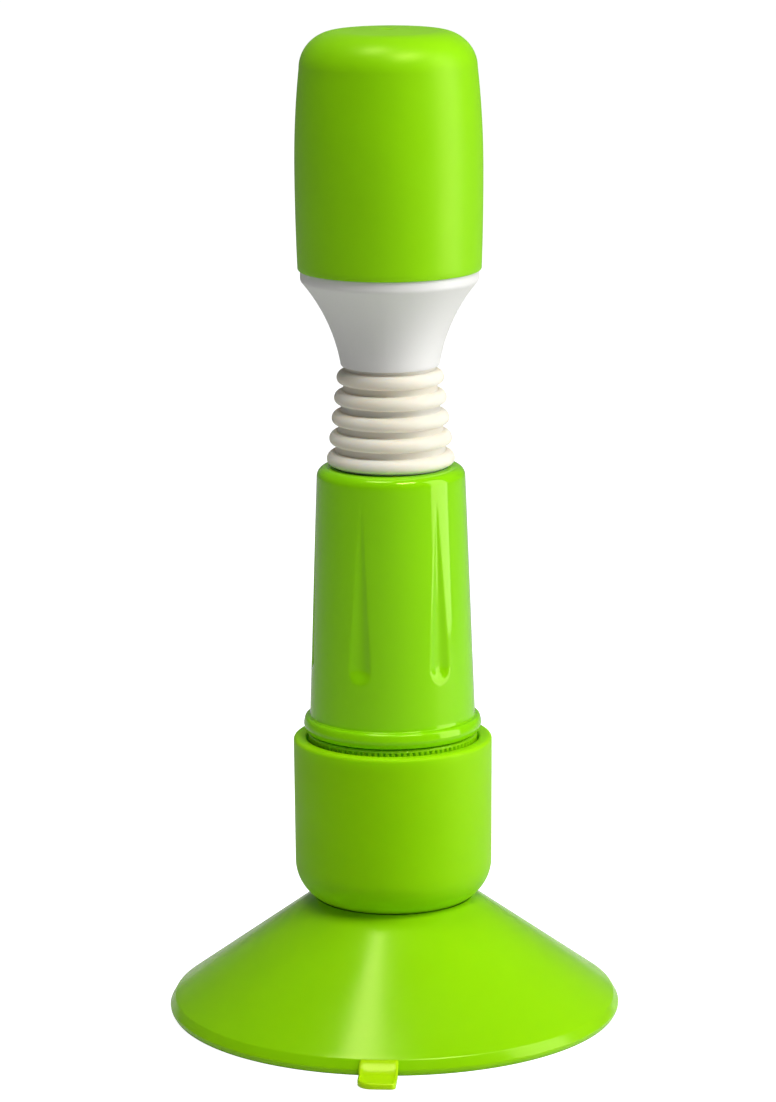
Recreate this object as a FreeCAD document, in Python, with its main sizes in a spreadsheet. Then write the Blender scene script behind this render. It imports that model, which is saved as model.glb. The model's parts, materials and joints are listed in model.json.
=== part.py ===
import FreeCAD, Part
import math
import os
import re
import Sketcher
from FreeCAD import Placement, Rotation, Vector

# A cordless massager standing in a soft cup on a suction disc.
# Millimetres; +Z is up, -Y is the front, and the origin is the centre of the
# ring on which the suction disc rests.

SIZES = {
    # suction disc
    "disc_radius": (48.7, "outermost radius of the rim"),
    "disc_foot_radius": (48.3, "outer radius of the ring that rests on the table"),
    "disc_foot_width": (3.7, "width of that ring"),
    "rim_bulge_height": (1.4, "height at which the rim is widest"),
    "rim_height": (3.25, "height of the rim's upper edge"),
    "rim_inset": (1.25, "how far the cone starts inside the rim"),
    "rim_rounding": (0.7, "rounding of the rim's upper edge"),
    "cone_rise": (22.05, "rise of the cone from the rim to the cup's seat"),
    "disc_wall": (4.2, "upright thickness of the cone's wall"),
    "hub_web": (2.9, "thickness between the seat and the hollow"),
    "hub_boss_radius": (8.0, "boss that takes the rivet"),
    "hub_boss_drop": (5.8, "how far the boss hangs into the hollow"),
    "hub_rounding": (1.0, "roundings of the boss"),
    "seat_inset": (4.05, "how far the seat's edge lies inside the cup's radius"),
    "seat_gap": (0.3, "gap between the dished seat and the cup's rounded bottom"),
    # pull tab
    "tab_width": (8.1, "width of the pull tab"),
    "tab_thickness": (1.0, "thickness of the pull tab"),
    "tab_reach": (8.7, "how far the tab stands out of the rim"),
    "tab_gap": (0.35, "gap between the tab's root and the rim"),
    "tab_slope_run": (2.2, "length over which the tab slopes down"),
    "tab_root_rise": (1.5, "how far the root lies above the flat end"),
    "tab_lift": (0.2, "clearance of the tab above the table"),
    "tab_corner": (2.4, "rounded corners of the tab's free end"),
    "tab_bearing": (94.0, "degrees from +X, clockwise, to the tab"),
    # holder cup, washer and rivet
    "cup_height": (36.4, "height of the cup"),
    "cup_wall": (2.75, "wall of the cup"),
    "cup_floor": (3.0, "floor of the cup"),
    "cup_bottom_rounding": (9.0, "outer rounding of the cup's bottom"),
    "cup_inner_rounding": (5.0, "inner rounding of the cup's bottom"),
    "cup_lip_outer": (1.2, "outer rounding of the lip"),
    "cup_lip_inner": (0.9, "inner rounding of the lip"),
    "cup_clearance": (0.35, "gap between the twist cap and the cup"),
    "washer_thickness": (1.0, "washer on the cup's floor"),
    "washer_margin": (0.5, "gap from the washer to the inner rounding"),
    "rivet_radius": (3.0, "shank of the push rivet"),
    "rivet_clearance": (0.15, "gap round the shank"),
    "rivet_reach": (5.0, "how far the shank goes into the disc"),
    "rivet_end_room": (0.3, "room below the end of the shank"),
    "rivet_head_radius": (5.5, "head of the rivet"),
    "rivet_head_height": (1.6, "height of the head"),
    # cells and contacts
    "cell_diameter": (14.3, "diameter of one cell"),
    "cell_length": (50.5, "length of one cell over its stud"),
    "cell_stud_radius": (2.75, "stud on the cell's positive end"),
    "cell_stud_height": (1.0, "height of that stud"),
    "cell_edge": (0.5, "rounding of the cell's edges"),
    "cell_gap": (0.3, "gap between the two cells"),
    "cell_clearance": (0.35, "gap between the cells and their bore"),
    "contact_thickness": (0.4, "sheet brass of the contacts"),
    "contact_room": (2.6, "room for the contacts above the cells"),
    "contact_wire": (0.6, "wire of the contact spring"),
    "contact_pad_radius": (4.0, "round pad of the positive contact"),
    "carrier_thickness": (2.0, "insulating plate that holds the contacts"),
    "carrier_gap": (0.1, "gap round the carrier"),
    # twist cap and its thread
    "cap_length": (33.5, "length of the twist cap"),
    "cap_wall": (1.25, "wall of the cap outside its thread"),
    "cap_floor": (1.5, "floor of the cap"),
    "cap_foot_rounding": (4.0, "rounding of the cap's lower edge"),
    "cap_top_rounding": (0.3, "rounding of the cap's upper edge"),
    "cap_recess_radius": (9.0, "recess under the cap"),
    "cap_recess_depth": (2.4, "depth of that recess"),
    "cap_gap": (0.3, "gap between the cap and the handle's bead"),
    "knurl_count": (90, "number of knurl grooves"),
    "knurl_depth": (0.35, "depth of a knurl groove"),
    "knurl_width": (0.8, "width of a knurl groove"),
    "knurl_start": (5.0, "plain length below the knurl"),
    "knurl_end": (0.6, "plain length above the knurl"),
    "spigot_wall": (1.05, "wall of the handle's threaded spigot"),
    "spigot_length": (17.0, "length of the spigot below the bead"),
    "spigot_end_room": (1.0, "room below the end of the spigot"),
    "thread_lead": (3.0, "rise of the thread in one turn"),
    "thread_depth": (0.75, "height of the thread ridge"),
    "thread_clearance": (0.3, "gap over the crest of the thread"),
    "thread_base": (1.3, "width of the ridge at its base"),
    "thread_crest": (0.7, "width of the ridge at its crest"),
    "thread_length": (9.0, "height over which the ridge runs"),
    "thread_start": (2.2, "height of the ridge's start above the spigot's end"),
    "thread_root": (0.2, "how far a ridge is sunk in its wall"),
    "seal_section": (0.65, "radius of the seal ring's section"),
    "seal_groove_depth": (0.4, "depth of the seal's groove"),
    "seal_groove_width": (1.6, "width of the seal's groove"),
    "seal_drop": (1.6, "distance from the bead to the groove"),
    # handle
    "handle_length": (57.5, "length from the bead's underside to the top"),
    "handle_foot_wall": (2.9, "wall just above the bead"),
    "handle_taper": (1.98, "how much the handle's radius shrinks upwards"),
    "handle_shoulder": (2.2, "rounding of the handle's upper edge"),
    "handle_upper_wall": (2.3, "wall above the contact carrier"),
    "handle_top_wall": (2.2, "thickness of the handle's top"),
    "bead_overhang": (0.85, "how far the bead stands outside the cap"),
    "bead_height": (3.35, "height of the bead"),
    "bead_rounding": (1.25, "rounding of the bead's edges"),
    "flute_count": (6, "number of flutes"),
    "flute_width": (5.6, "width of a flute at its round end"),
    "flute_depth": (1.5, "depth of a flute at its round end"),
    "flute_foot": (16.0, "height of the round end above the bead's underside"),
    "flute_tip_drop": (3.5, "distance from the flute's tip to the handle's top"),
    "flute_bearing": (53.6, "degrees from +X, clockwise, to the first flute"),
    # flexible neck
    "neck_gap": (0.1, "gap between the neck and the rigid faces"),
    "neck_length": (21.4, "visible length of the neck"),
    "neck_foot_inset": (2.2, "how far the first rib's root lies inside the handle"),
    "neck_taper": (2.0, "how much the ribs shrink upwards"),
    "rib_count": (5, "number of ribs"),
    "rib_section": (1.35, "radius of a rib's section"),
    "rib_height": (1.75, "how far a rib stands out"),
    "rib_root": (0.4, "how far a rib is sunk in the neck"),
    "rib_flat": (0.05, "flat left on a rib's crest"),
    "rib_first": (1.75, "height of the first rib above the neck's foot"),
    "rib_pitch": (4.35, "distance between ribs"),
    "neck_wall": (2.2, "wall of the neck between its ribs"),
    "collar_wall": (1.5, "wall of the neck's end collars"),
    "grommet_gap": (0.1, "gap between the collars and their holes"),
    "grommet_height": (1.2, "thickness of the collars' flanges"),
    "grommet_lip": (1.9, "how far the flanges stand out"),
    "lower_hole_radius": (9.0, "hole in the handle's top"),
    "upper_hole_radius": (6.5, "hole in the funnel's bottom"),
    "clamp_wall": (1.1, "wall of the clamp rings"),
    "clamp_flange": (1.0, "flange of the clamp rings"),
    "clamp_reach": (1.8, "how far a clamp ring goes into the neck"),
    # head
    "funnel_height": (20.4, "height of the white funnel"),
    "funnel_foot_step": (0.63, "how far the funnel's foot stands outside the neck's top"),
    "funnel_ring_height": (2.3, "height of the funnel's ring"),
    "funnel_sweep": (37.0, "radius of the funnel's hollow curve"),
    "funnel_wall": (1.8, "wall of the funnel"),
    "head_room": (7.6, "room between the eccentric weight and the rigid shell"),
    "cover_step": (0.25, "how far the ring stands outside the top of the cover's side"),
    "cover_overhang": (0.27, "how far the cover's foot stands outside the funnel's ring"),
    "cover_crown": (278.0, "radius of the cover's barrel curve"),
    "cover_shoulder": (8.0, "rounding of the cover's top"),
    "cover_wall": (2.0, "thickness of the soft cover"),
    "housing_wall": (1.4, "wall of the rigid shell under the cover"),
    "housing_gap": (0.1, "gap between the soft cover and the rigid shell"),
    "housing_shoulder": (5.5, "rounding of the rigid shell's top"),
    "boss_radius": (2.6, "screw bosses of the rigid shell"),
    "boss_length": (9.0, "length of the bosses"),
    "boss_step": (2.75, "distance of the screws from the motor's can"),
    "boss_room": (2.4, "distance from the screws to the rigid shell"),
    # motor
    "motor_radius": (10.05, "round sides of the motor's can"),
    "motor_flat": (15.4, "distance across the can's flats"),
    "motor_length": (22.5, "length of the motor's can"),
    "motor_rise": (6.5, "height of the can above the funnel"),
    "motor_wall": (0.8, "sheet steel of the can"),
    "motor_nose_radius": (3.05, "bearing boss of the can"),
    "motor_nose_height": (1.6, "height of that boss"),
    "end_bell_height": (2.4, "plastic end of the motor"),
    "shaft_radius": (1.0, "motor shaft"),
    "shaft_clearance": (0.05, "gap between the shaft and its bushes"),
    "weight_gap": (0.6, "gap between the can and the eccentric weight"),
    "shaft_end": (0.8, "length of shaft above the eccentric weight"),
    "shaft_recess": (0.4, "depth of the shaft's lower end in the end bell"),
    "armature_radius": (6.2, "rotor inside the motor"),
    "armature_length": (13.0, "length of the rotor"),
    "magnet_thickness": (1.7, "thickness of a magnet"),
    "magnet_width": (12.6, "width of a magnet"),
    "magnet_length": (16.0, "length of a magnet"),
    "magnet_drop": (1.0, "gap between the magnets and the can's end"),
    "magnet_glue": (0.05, "glue between a magnet and the can"),
    "core_rise": (3.0, "height of the armature's core above the can's floor"),
    "weight_radius": (7.5, "eccentric weight"),
    "weight_length": (8.0, "thickness of the eccentric weight"),
    "weight_hub_radius": (2.6, "hub of the eccentric weight"),
    "terminal_width": (1.8, "width of a motor terminal"),
    "terminal_length": (3.0, "length of a motor terminal"),
    "terminal_offset": (5.5, "distance of a terminal from the axis"),
    "cradle_rise": (1.0, "height of the cradle above the can's lower end"),
    "cradle_height": (10.0, "height of the motor's cradle"),
    "cradle_gap": (0.2, "gap round the motor in its cradle"),
    "screw_radius": (1.0, "shank of a cradle screw"),
    "screw_clearance": (0.1, "gap round a cradle screw in the cradle"),
    "screw_length": (14.0, "length of a cradle screw"),
    "screw_head_radius": (1.9, "head of a cradle screw"),
    "screw_head_height": (1.3, "height of that head"),
    # leads
    "lead_radius": (0.7, "insulation of a lead"),
    "lead_bend": (6.0, "bend of a lead"),
    "lead_start_offset": (6.0, "distance of a lead from the axis at the carrier"),
    "lead_neck_offset": (1.8, "distance of a lead from the axis in the neck"),
    "lead_rise": (3.0, "straight run of a lead above the neck"),
    "lead_spread": (6.0, "height over which a lead moves out to its terminal"),
}

# Heights above the table and other sizes that follow from the ones above.
DERIVED = {
    "cell_bore": "cell_diameter + cell_gap / 2 + cell_clearance",
    "spigot_radius": "cell_bore + spigot_wall",
    "cap_bore": "spigot_radius + thread_depth + thread_clearance",
    "cap_radius": "cap_bore + cap_wall",
    # the groove's cutter stands out of the cap by half its depth
    "knurl_mouth_radius": "cap_radius + knurl_depth / 2",
    "knurl_mouth": "knurl_width * 3 / 2",
    "cup_bore": "cap_radius + cup_clearance",
    "cup_radius": "cup_bore + cup_wall",
    "cup_flat_radius": "cup_radius - cup_bottom_rounding",
    "cone_foot_radius": "disc_radius - rim_inset",
    "cone_top_radius": "cup_radius - seat_inset",
    "cone_top": "rim_height + cone_rise",
    "cone_slope": "cone_rise / (cone_foot_radius - cone_top_radius)",
    "dish_radius": "cup_bottom_rounding + seat_gap",
    "dish_run": "cone_top_radius - cup_flat_radius",
    "dish_rise": "cup_bottom_rounding - sqrt(dish_radius ^ 2 - dish_run ^ 2)",
    "dish_inner_run": "sqrt(dish_radius ^ 2 - cup_bottom_rounding ^ 2)",
    "cup_base": "cone_top - dish_rise",
    "foot_inner_radius": "disc_foot_radius - disc_foot_width",
    "hollow_foot": "rim_height + cone_slope * (cone_foot_radius - foot_inner_radius) - disc_wall",
    "hollow_top": "cup_base - hub_web",
    "hollow_top_radius": "cone_foot_radius - (hollow_top + disc_wall - rim_height) / cone_slope",
    "rivet_hole_radius": "rivet_radius + rivet_clearance",
    "cup_top": "cup_base + cup_height",
    "washer_base": "cup_base + cup_floor",
    "washer_top": "washer_base + washer_thickness",
    "washer_radius": "cup_bore - cup_inner_rounding - washer_margin",
    "cap_base": "washer_top",
    "cap_top": "cap_base + cap_length",
    "cap_inner_floor": "cap_base + cap_recess_depth + cap_floor",
    "cell_base": "cap_inner_floor + contact_thickness",
    "cell_top": "cell_base + cell_length",
    "cell_offset": "(cell_diameter + cell_gap) / 2",
    "carrier_base": "cell_top + contact_room",
    "carrier_top": "carrier_base + carrier_thickness",
    "bead_base": "cap_top + cap_gap",
    "bead_top": "bead_base + bead_height",
    "bead_radius": "cap_radius + bead_overhang",
    "spigot_base": "bead_base - spigot_length",
    "cap_shoulder": "spigot_base - spigot_end_room",
    "male_thread_base": "spigot_base + thread_start",
    "female_thread_base": "male_thread_base + thread_lead / 2",
    "handle_foot_radius": "cell_bore + handle_foot_wall",
    "handle_top": "bead_base + handle_length",
    "handle_top_radius": "handle_foot_radius - handle_taper",
    "handle_slope": "handle_taper / (handle_top - bead_top)",
    "handle_inner_foot": "handle_foot_radius - handle_slope * (carrier_top - bead_top) - handle_upper_wall",
    "handle_inner_top": "handle_top_radius - handle_upper_wall",
    "flute_foot_height": "bead_base + flute_foot",
    "flute_tip_height": "handle_top - flute_tip_drop",
    "flute_ball": "(flute_width ^ 2 / 4 + flute_depth ^ 2) / (2 * flute_depth)",
    "flute_ball_radius_out": "handle_foot_radius - handle_slope * (flute_foot_height - bead_top)"
    " + flute_ball - flute_depth",
    "flute_tip_radius": "handle_foot_radius - handle_slope * (flute_tip_height - bead_top)",
    "neck_base": "handle_top + neck_gap",
    "neck_top": "neck_base + neck_length",
    "neck_foot_radius": "handle_top_radius - neck_foot_inset - rib_height + neck_gap",
    "neck_top_radius": "neck_foot_radius - neck_taper",
    "lower_collar_radius": "lower_hole_radius - grommet_gap",
    "upper_collar_radius": "upper_hole_radius - grommet_gap",
    "lower_collar_bore": "lower_collar_radius - collar_wall",
    "upper_collar_bore": "upper_collar_radius - collar_wall",
    "handle_ceiling": "handle_top - handle_top_wall",
    "lower_grommet_top": "handle_ceiling - grommet_gap",
    "lower_grommet_base": "lower_grommet_top - grommet_height",
    "funnel_base": "neck_top + neck_gap",
    "funnel_floor": "funnel_base + funnel_wall",
    "funnel_top": "funnel_base + funnel_height",
    "funnel_ring_base": "funnel_top - funnel_ring_height",
    "upper_grommet_base": "funnel_floor + grommet_gap",
    "upper_grommet_top": "upper_grommet_base + grommet_height",
    "funnel_foot_radius": "neck_top_radius + funnel_foot_step",
    "boss_offset": "motor_radius + boss_step",
    "housing_bore": "boss_offset + boss_room",
    "housing_radius": "housing_bore + housing_wall",
    "cover_top_radius": "housing_radius + cover_wall",
    "funnel_ring_radius": "cover_top_radius + cover_step",
    "cover_foot_radius": "funnel_ring_radius + cover_overhang",
    "housing_base": "funnel_ring_base + housing_gap",
    "motor_base": "funnel_top + motor_rise",
    "motor_top": "motor_base + motor_length",
    "end_bell_base": "motor_base - end_bell_height",
    "terminal_base": "end_bell_base - terminal_length",
    "cradle_base": "motor_base + cradle_rise",
    "cradle_top": "cradle_base + cradle_height",
    "boss_base": "cradle_top",
    "weight_base": "motor_top + motor_nose_height + weight_gap",
    "weight_top": "weight_base + weight_length",
    # a half circle has to be a hair wider than its own chord
    "weight_arc": "weight_radius * 1.0001",
    "housing_top": "weight_top + head_room + housing_wall",
    "head_top": "housing_top + housing_gap + cover_wall",
    "lead_start": "carrier_top",
}

doc = FreeCAD.newDocument("MassagerOnSuctionStand")
sheet = doc.addObject("Spreadsheet::Sheet", "Sizes")
parts = []


def fill_sheet():
    """Write one row for each size: its name, its value and what it means."""
    for row, (name, (value, meaning)) in enumerate(SIZES.items(), start=1):
        sheet.set("A%d" % row, name)
        sheet.set("B%d" % row, str(value))
        sheet.set("C%d" % row, meaning)
        sheet.setAlias("B%d" % row, name)
    doc.recompute()


def bound(text):
    """The expression for a formula written with the names above."""

    def replace(match):
        word = match.group(0)
        if word in DERIVED:
            return "(" + bound(DERIVED[word]) + ")"
        if word in SIZES:
            return "Sizes." + word
        return word

    return re.sub(r"[a-z_]+", replace, text)


def number(text):
    """The value of such a formula with the sheet's present sizes."""
    return float(sheet.evalExpression(bound(text)))


def finish_part(item, label):
    """Name a finished sub-part and list it for writing."""
    item.Label = label
    parts.append(item)
    return item


# ---- sketches ----

def new_body(name):
    return doc.addObject("PartDesign::Body", name)


def new_sketch(body, role, name):
    """An empty sketch on one of the body's own origin planes."""
    sketch = body.newObject("Sketcher::SketchObject", name)
    plane = next(item for item in body.Origin.OriginFeatures if item.Role == role)
    sketch.AttachmentSupport = [(plane, "")]
    sketch.MapMode = "FlatFace"
    return sketch


def bind_last(sketch, constraint, name, text):
    """Add a sized constraint and bind it to a formula."""
    index = sketch.addConstraint(constraint)
    sketch.renameConstraint(index, name)
    sketch.setExpression("Constraints." + name, bound(text))


def place_point(sketch, geometry, end, name, x_text, y_text):
    """Hold a point at two formulas measured from the sketch's origin."""
    if x_text == "0":
        sketch.addConstraint(Sketcher.Constraint("PointOnObject", geometry, end, -2))
    else:
        across = Sketcher.Constraint("DistanceX", -1, 1, geometry, end, number(x_text))
        bind_last(sketch, across, name + "_x", x_text)
    if y_text == "0":
        sketch.addConstraint(Sketcher.Constraint("PointOnObject", geometry, end, -1))
    else:
        upward = Sketcher.Constraint("DistanceY", -1, 1, geometry, end, number(y_text))
        bind_last(sketch, upward, name + "_y", y_text)


def unit(start, end):
    return (end - start).normalize()


def corner_setback(points, roundings, index):
    """How far a corner's rounding eats into the two edges that meet there."""
    here = points[index]
    before = unit(here, points[index - 1])
    after = unit(here, points[(index + 1) % len(points)])
    return roundings[index] / math.tan(before.getAngle(after) / 2)


def draw_edge(sketch, start, end, arc, name):
    """A line, or an arc whose radius is given, from start to end.

    Returns its number and which of its ends are the first and the last point.
    arc is None or (radius, side), side +1 for a centre on the left.
    """
    if arc is None:
        return sketch.addGeometry(Part.LineSegment(start, end)), 1, 2
    radius = number(arc[0])
    chord = end - start
    left = Vector(-chord.y, chord.x, 0).normalize()
    height = math.sqrt(radius ** 2 - (chord.Length / 2) ** 2)
    centre = (start + end) / 2 + left * height * arc[1]
    first, last = (start, end) if arc[1] > 0 else (end, start)
    circle = Part.Circle(centre, Vector(0, 0, 1), radius)
    from_angle = math.atan2(first.y - centre.y, first.x - centre.x)
    to_angle = math.atan2(last.y - centre.y, last.x - centre.x)
    geometry = sketch.addGeometry(Part.ArcOfCircle(circle, from_angle, to_angle))
    bind_last(sketch, Sketcher.Constraint("Radius", geometry, radius), name, arc[0])
    return (geometry, 1, 2) if arc[1] > 0 else (geometry, 2, 1)


def draw_rounding(sketch, corner, before, after, leaving, arriving, radius_text, name):
    """An arc in a corner, tangent to the edges before and after it."""
    radius = number(radius_text)
    middle = (before + after).normalize()
    half = before.getAngle(after) / 2
    centre = corner + middle * (radius / math.sin(half))
    on_before = corner + before * (radius / math.tan(half))
    on_after = corner + after * (radius / math.tan(half))
    turns_left = before.y * after.x - before.x * after.y > 0
    first, last = (on_before, on_after) if turns_left else (on_after, on_before)
    circle = Part.Circle(centre, Vector(0, 0, 1), radius)
    from_angle = math.atan2(first.y - centre.y, first.x - centre.x)
    to_angle = math.atan2(last.y - centre.y, last.x - centre.x)
    arc = sketch.addGeometry(Part.ArcOfCircle(circle, from_angle, to_angle))
    enter, leave = (1, 2) if turns_left else (2, 1)
    sketch.addConstraint(Sketcher.Constraint("Tangent", arriving[0], arriving[2], arc, enter))
    sketch.addConstraint(Sketcher.Constraint("Tangent", arc, leave, leaving[0], leaving[1]))
    bind_last(sketch, Sketcher.Constraint("Radius", arc, radius), name + "_r", radius_text)


def draw_outline(sketch, corners, arcs=None, closed=True):
    """A path through corners given as (x, y) or (x, y, rounding) formulas.

    arcs maps the number of an edge to the (radius, side) that curves it.
    """
    arcs = arcs or {}
    points = [Vector(number(corner[0]), number(corner[1]), 0) for corner in corners]
    roundings = [number(corner[2]) if len(corner) > 2 else 0 for corner in corners]
    count = len(points)
    edge_count = count if closed else count - 1
    edges = []
    for index in range(edge_count):
        following = (index + 1) % count
        along = unit(points[index], points[following])
        start = points[index]
        end = points[following]
        if roundings[index]:
            start = start + along * corner_setback(points, roundings, index)
        if roundings[following]:
            end = end - along * corner_setback(points, roundings, following)
        edges.append(draw_edge(sketch, start, end, arcs.get(index), "edge%d_radius" % index))
    for index, corner in enumerate(corners):
        name = "corner%d" % index
        if not closed and index in (0, count - 1):
            edge = edges[0] if index == 0 else edges[-1]
            place_point(sketch, edge[0], edge[1] if index == 0 else edge[2], name, *corner[:2])
            continue
        arriving = edges[index - 1]
        leaving = edges[index]
        if roundings[index]:
            point = sketch.addGeometry(Part.Point(points[index]), True)
            sketch.addConstraint(Sketcher.Constraint("PointOnObject", point, 1, arriving[0]))
            sketch.addConstraint(Sketcher.Constraint("PointOnObject", point, 1, leaving[0]))
            place_point(sketch, point, 1, name, *corner[:2])
            before = unit(points[index], points[index - 1])
            after = unit(points[index], points[(index + 1) % count])
            draw_rounding(sketch, points[index], before, after, leaving, arriving, corner[2], name)
        else:
            joined = Sketcher.Constraint("Coincident", arriving[0], arriving[2], leaving[0], leaving[1])
            sketch.addConstraint(joined)
            place_point(sketch, leaving[0], leaving[1], name, *corner[:2])


def draw_circle(sketch, x_text, y_text, radius_text, name):
    centre = Vector(number(x_text), number(y_text), 0)
    circle = sketch.addGeometry(Part.Circle(centre, Vector(0, 0, 1), number(radius_text)))
    bind_last(sketch, Sketcher.Constraint("Radius", circle, number(radius_text)), name + "_r", radius_text)
    place_point(sketch, circle, 3, name, x_text, y_text)


# ---- features ----

def revolve(body, name, corners, arcs=None):
    """Turn an outline of (radius, height) corners about the Z axis."""
    sketch = new_sketch(body, "XZ_Plane", name + "_outline")
    draw_outline(sketch, corners, arcs)
    turned = body.newObject("PartDesign::Revolution", name)
    turned.Profile = sketch
    turned.ReferenceAxis = (sketch, ["V_Axis"])
    turned.Angle = 360
    return turned


def turned_part(label, corners, arcs=None):
    """A sub-part that is one turned outline."""
    body = new_body(label)
    revolve(body, "Turned", corners, arcs)
    return finish_part(body, label)


def thread_ridge(body, name, root_radius, crest_radius, base_height):
    """A right-hand helical ridge of trapezoid section."""
    sketch = new_sketch(body, "XZ_Plane", name + "_section")
    draw_outline(sketch, [
        (root_radius, base_height),
        (root_radius, base_height + " + thread_base"),
        (crest_radius, base_height + " + (thread_base + thread_crest) / 2"),
        (crest_radius, base_height + " + (thread_base - thread_crest) / 2"),
    ])
    ridge = body.newObject("PartDesign::AdditiveHelix", name)
    ridge.Profile = sketch
    ridge.ReferenceAxis = (sketch, ["V_Axis"])
    ridge.Mode = 0
    ridge.setExpression("Pitch", bound("thread_lead"))
    ridge.setExpression("Height", bound("thread_length"))
    return ridge


def polar_pattern(body, feature, axis, count_name):
    """Repeat a feature evenly about an axis; it counts once it is the tip."""
    pattern = body.newObject("PartDesign::PolarPattern", feature.Name + "_all_round")
    pattern.Originals = [feature]
    pattern.Axis = axis
    pattern.Angle = 360
    pattern.setExpression("Occurrences", bound(count_name))
    body.Tip = pattern
    return pattern


def cylinder(name, radius, height, base, x_text="0", y_text="0"):
    item = doc.addObject("Part::Cylinder", name)
    item.setExpression("Radius", bound(radius))
    item.setExpression("Height", bound(height))
    item.setExpression("Placement.Base.x", bound(x_text))
    item.setExpression("Placement.Base.y", bound(y_text))
    item.setExpression("Placement.Base.z", bound(base))
    return item


def block(name, length, width, height, base, x_text="0", y_text="0"):
    """A box centred on x_text and y_text, standing on base."""
    item = doc.addObject("Part::Box", name)
    item.setExpression("Length", bound(length))
    item.setExpression("Width", bound(width))
    item.setExpression("Height", bound(height))
    item.setExpression("Placement.Base.x", bound("(%s) - (%s) / 2" % (x_text, length)))
    item.setExpression("Placement.Base.y", bound("(%s) - (%s) / 2" % (y_text, width)))
    item.setExpression("Placement.Base.z", bound(base))
    return item


def cut(name, base, tool):
    item = doc.addObject("Part::Cut", name)
    item.Base = base
    item.Tool = tool
    return item


def fuse(name, shapes):
    item = doc.addObject("Part::MultiFuse", name)
    item.Shapes = shapes
    return item


def common(name, shapes):
    item = doc.addObject("Part::MultiCommon", name)
    item.Shapes = shapes
    return item


# ---- the stand ----

def make_suction_disc():
    """Soft cone with a hollow beneath and a dished seat for the cup on top."""
    return turned_part("suction_disc", [
        ("foot_inner_radius", "0"),
        ("disc_foot_radius", "0"),
        ("disc_radius", "rim_bulge_height"),
        ("cone_foot_radius", "rim_height", "rim_rounding"),
        ("cone_top_radius", "cone_top"),
        ("cup_flat_radius + dish_inner_run", "cup_base"),
        ("rivet_hole_radius", "cup_base"),
        ("rivet_hole_radius", "cup_base - rivet_reach - rivet_end_room"),
        ("0", "cup_base - rivet_reach - rivet_end_room"),
        ("0", "hollow_top - hub_boss_drop"),
        ("hub_boss_radius", "hollow_top - hub_boss_drop", "hub_rounding"),
        ("hub_boss_radius", "hollow_top", "hub_rounding"),
        ("hollow_top_radius", "hollow_top", "hub_rounding"),
        ("foot_inner_radius", "hollow_foot"),
    ], {4: ("dish_radius", -1)})


def make_pull_tab():
    """Thin tab that slopes from the rim to the table and then lies flat."""
    body = new_body("pull_tab")
    root = "disc_radius + tab_gap"
    bend = "disc_radius + tab_gap + tab_slope_run"
    sketch = new_sketch(body, "XZ_Plane", "Tab_side")
    draw_outline(sketch, [
        (root, "tab_lift + tab_root_rise"),
        (bend, "tab_lift"),
        ("disc_radius + tab_reach", "tab_lift"),
        ("disc_radius + tab_reach", "tab_lift + tab_thickness"),
        (bend, "tab_lift + tab_thickness"),
        (root, "tab_lift + tab_root_rise + tab_thickness"),
    ])
    pad = body.newObject("PartDesign::Pad", "Tab")
    pad.Profile = sketch
    pad.Midplane = True
    pad.setExpression("Length", bound("tab_width"))
    doc.recompute()
    end = number("disc_radius + tab_reach")
    corners = [
        "Edge%d" % (index + 1)
        for index, edge in enumerate(pad.Shape.Edges)
        if abs(edge.BoundBox.XMin - end) < 0.01 and edge.BoundBox.YLength < 0.01
    ]
    fillet = body.newObject("PartDesign::Fillet", "Tab_corners")
    fillet.Base = (pad, corners)
    fillet.setExpression("Radius", bound("tab_corner"))
    body.setExpression("Placement.Rotation.Angle", bound("-tab_bearing"))
    return finish_part(body, "pull_tab")


def make_holder_cup():
    """Soft cup whose bore takes the knurled cap of the massager."""
    return turned_part("holder_cup", [
        ("rivet_hole_radius", "cup_base"),
        ("cup_radius", "cup_base", "cup_bottom_rounding"),
        ("cup_radius", "cup_top", "cup_lip_outer"),
        ("cup_bore", "cup_top", "cup_lip_inner"),
        ("cup_bore", "washer_base", "cup_inner_rounding"),
        ("rivet_hole_radius", "washer_base"),
    ])


def make_floor_washer():
    """Stiff washer that spreads the rivet's pull over the cup's floor."""
    plate = cylinder("Washer_plate", "washer_radius", "washer_thickness", "washer_base")
    hole = cylinder("Washer_hole", "rivet_hole_radius", "washer_thickness", "washer_base")
    return finish_part(cut("Washer", plate, hole), "floor_washer")


def make_hub_rivet():
    """Push rivet through the washer and the cup's floor into the disc."""
    return turned_part("hub_rivet", [
        ("0", "cup_base - rivet_reach"),
        ("rivet_radius", "cup_base - rivet_reach", "rivet_radius / 2"),
        ("rivet_radius", "washer_top"),
        ("rivet_head_radius", "washer_top"),
        ("rivet_head_radius", "washer_top + rivet_head_height", "rivet_head_height / 2"),
        ("0", "washer_top + rivet_head_height"),
    ])


# ---- the twist cap and what it carries ----

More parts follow.
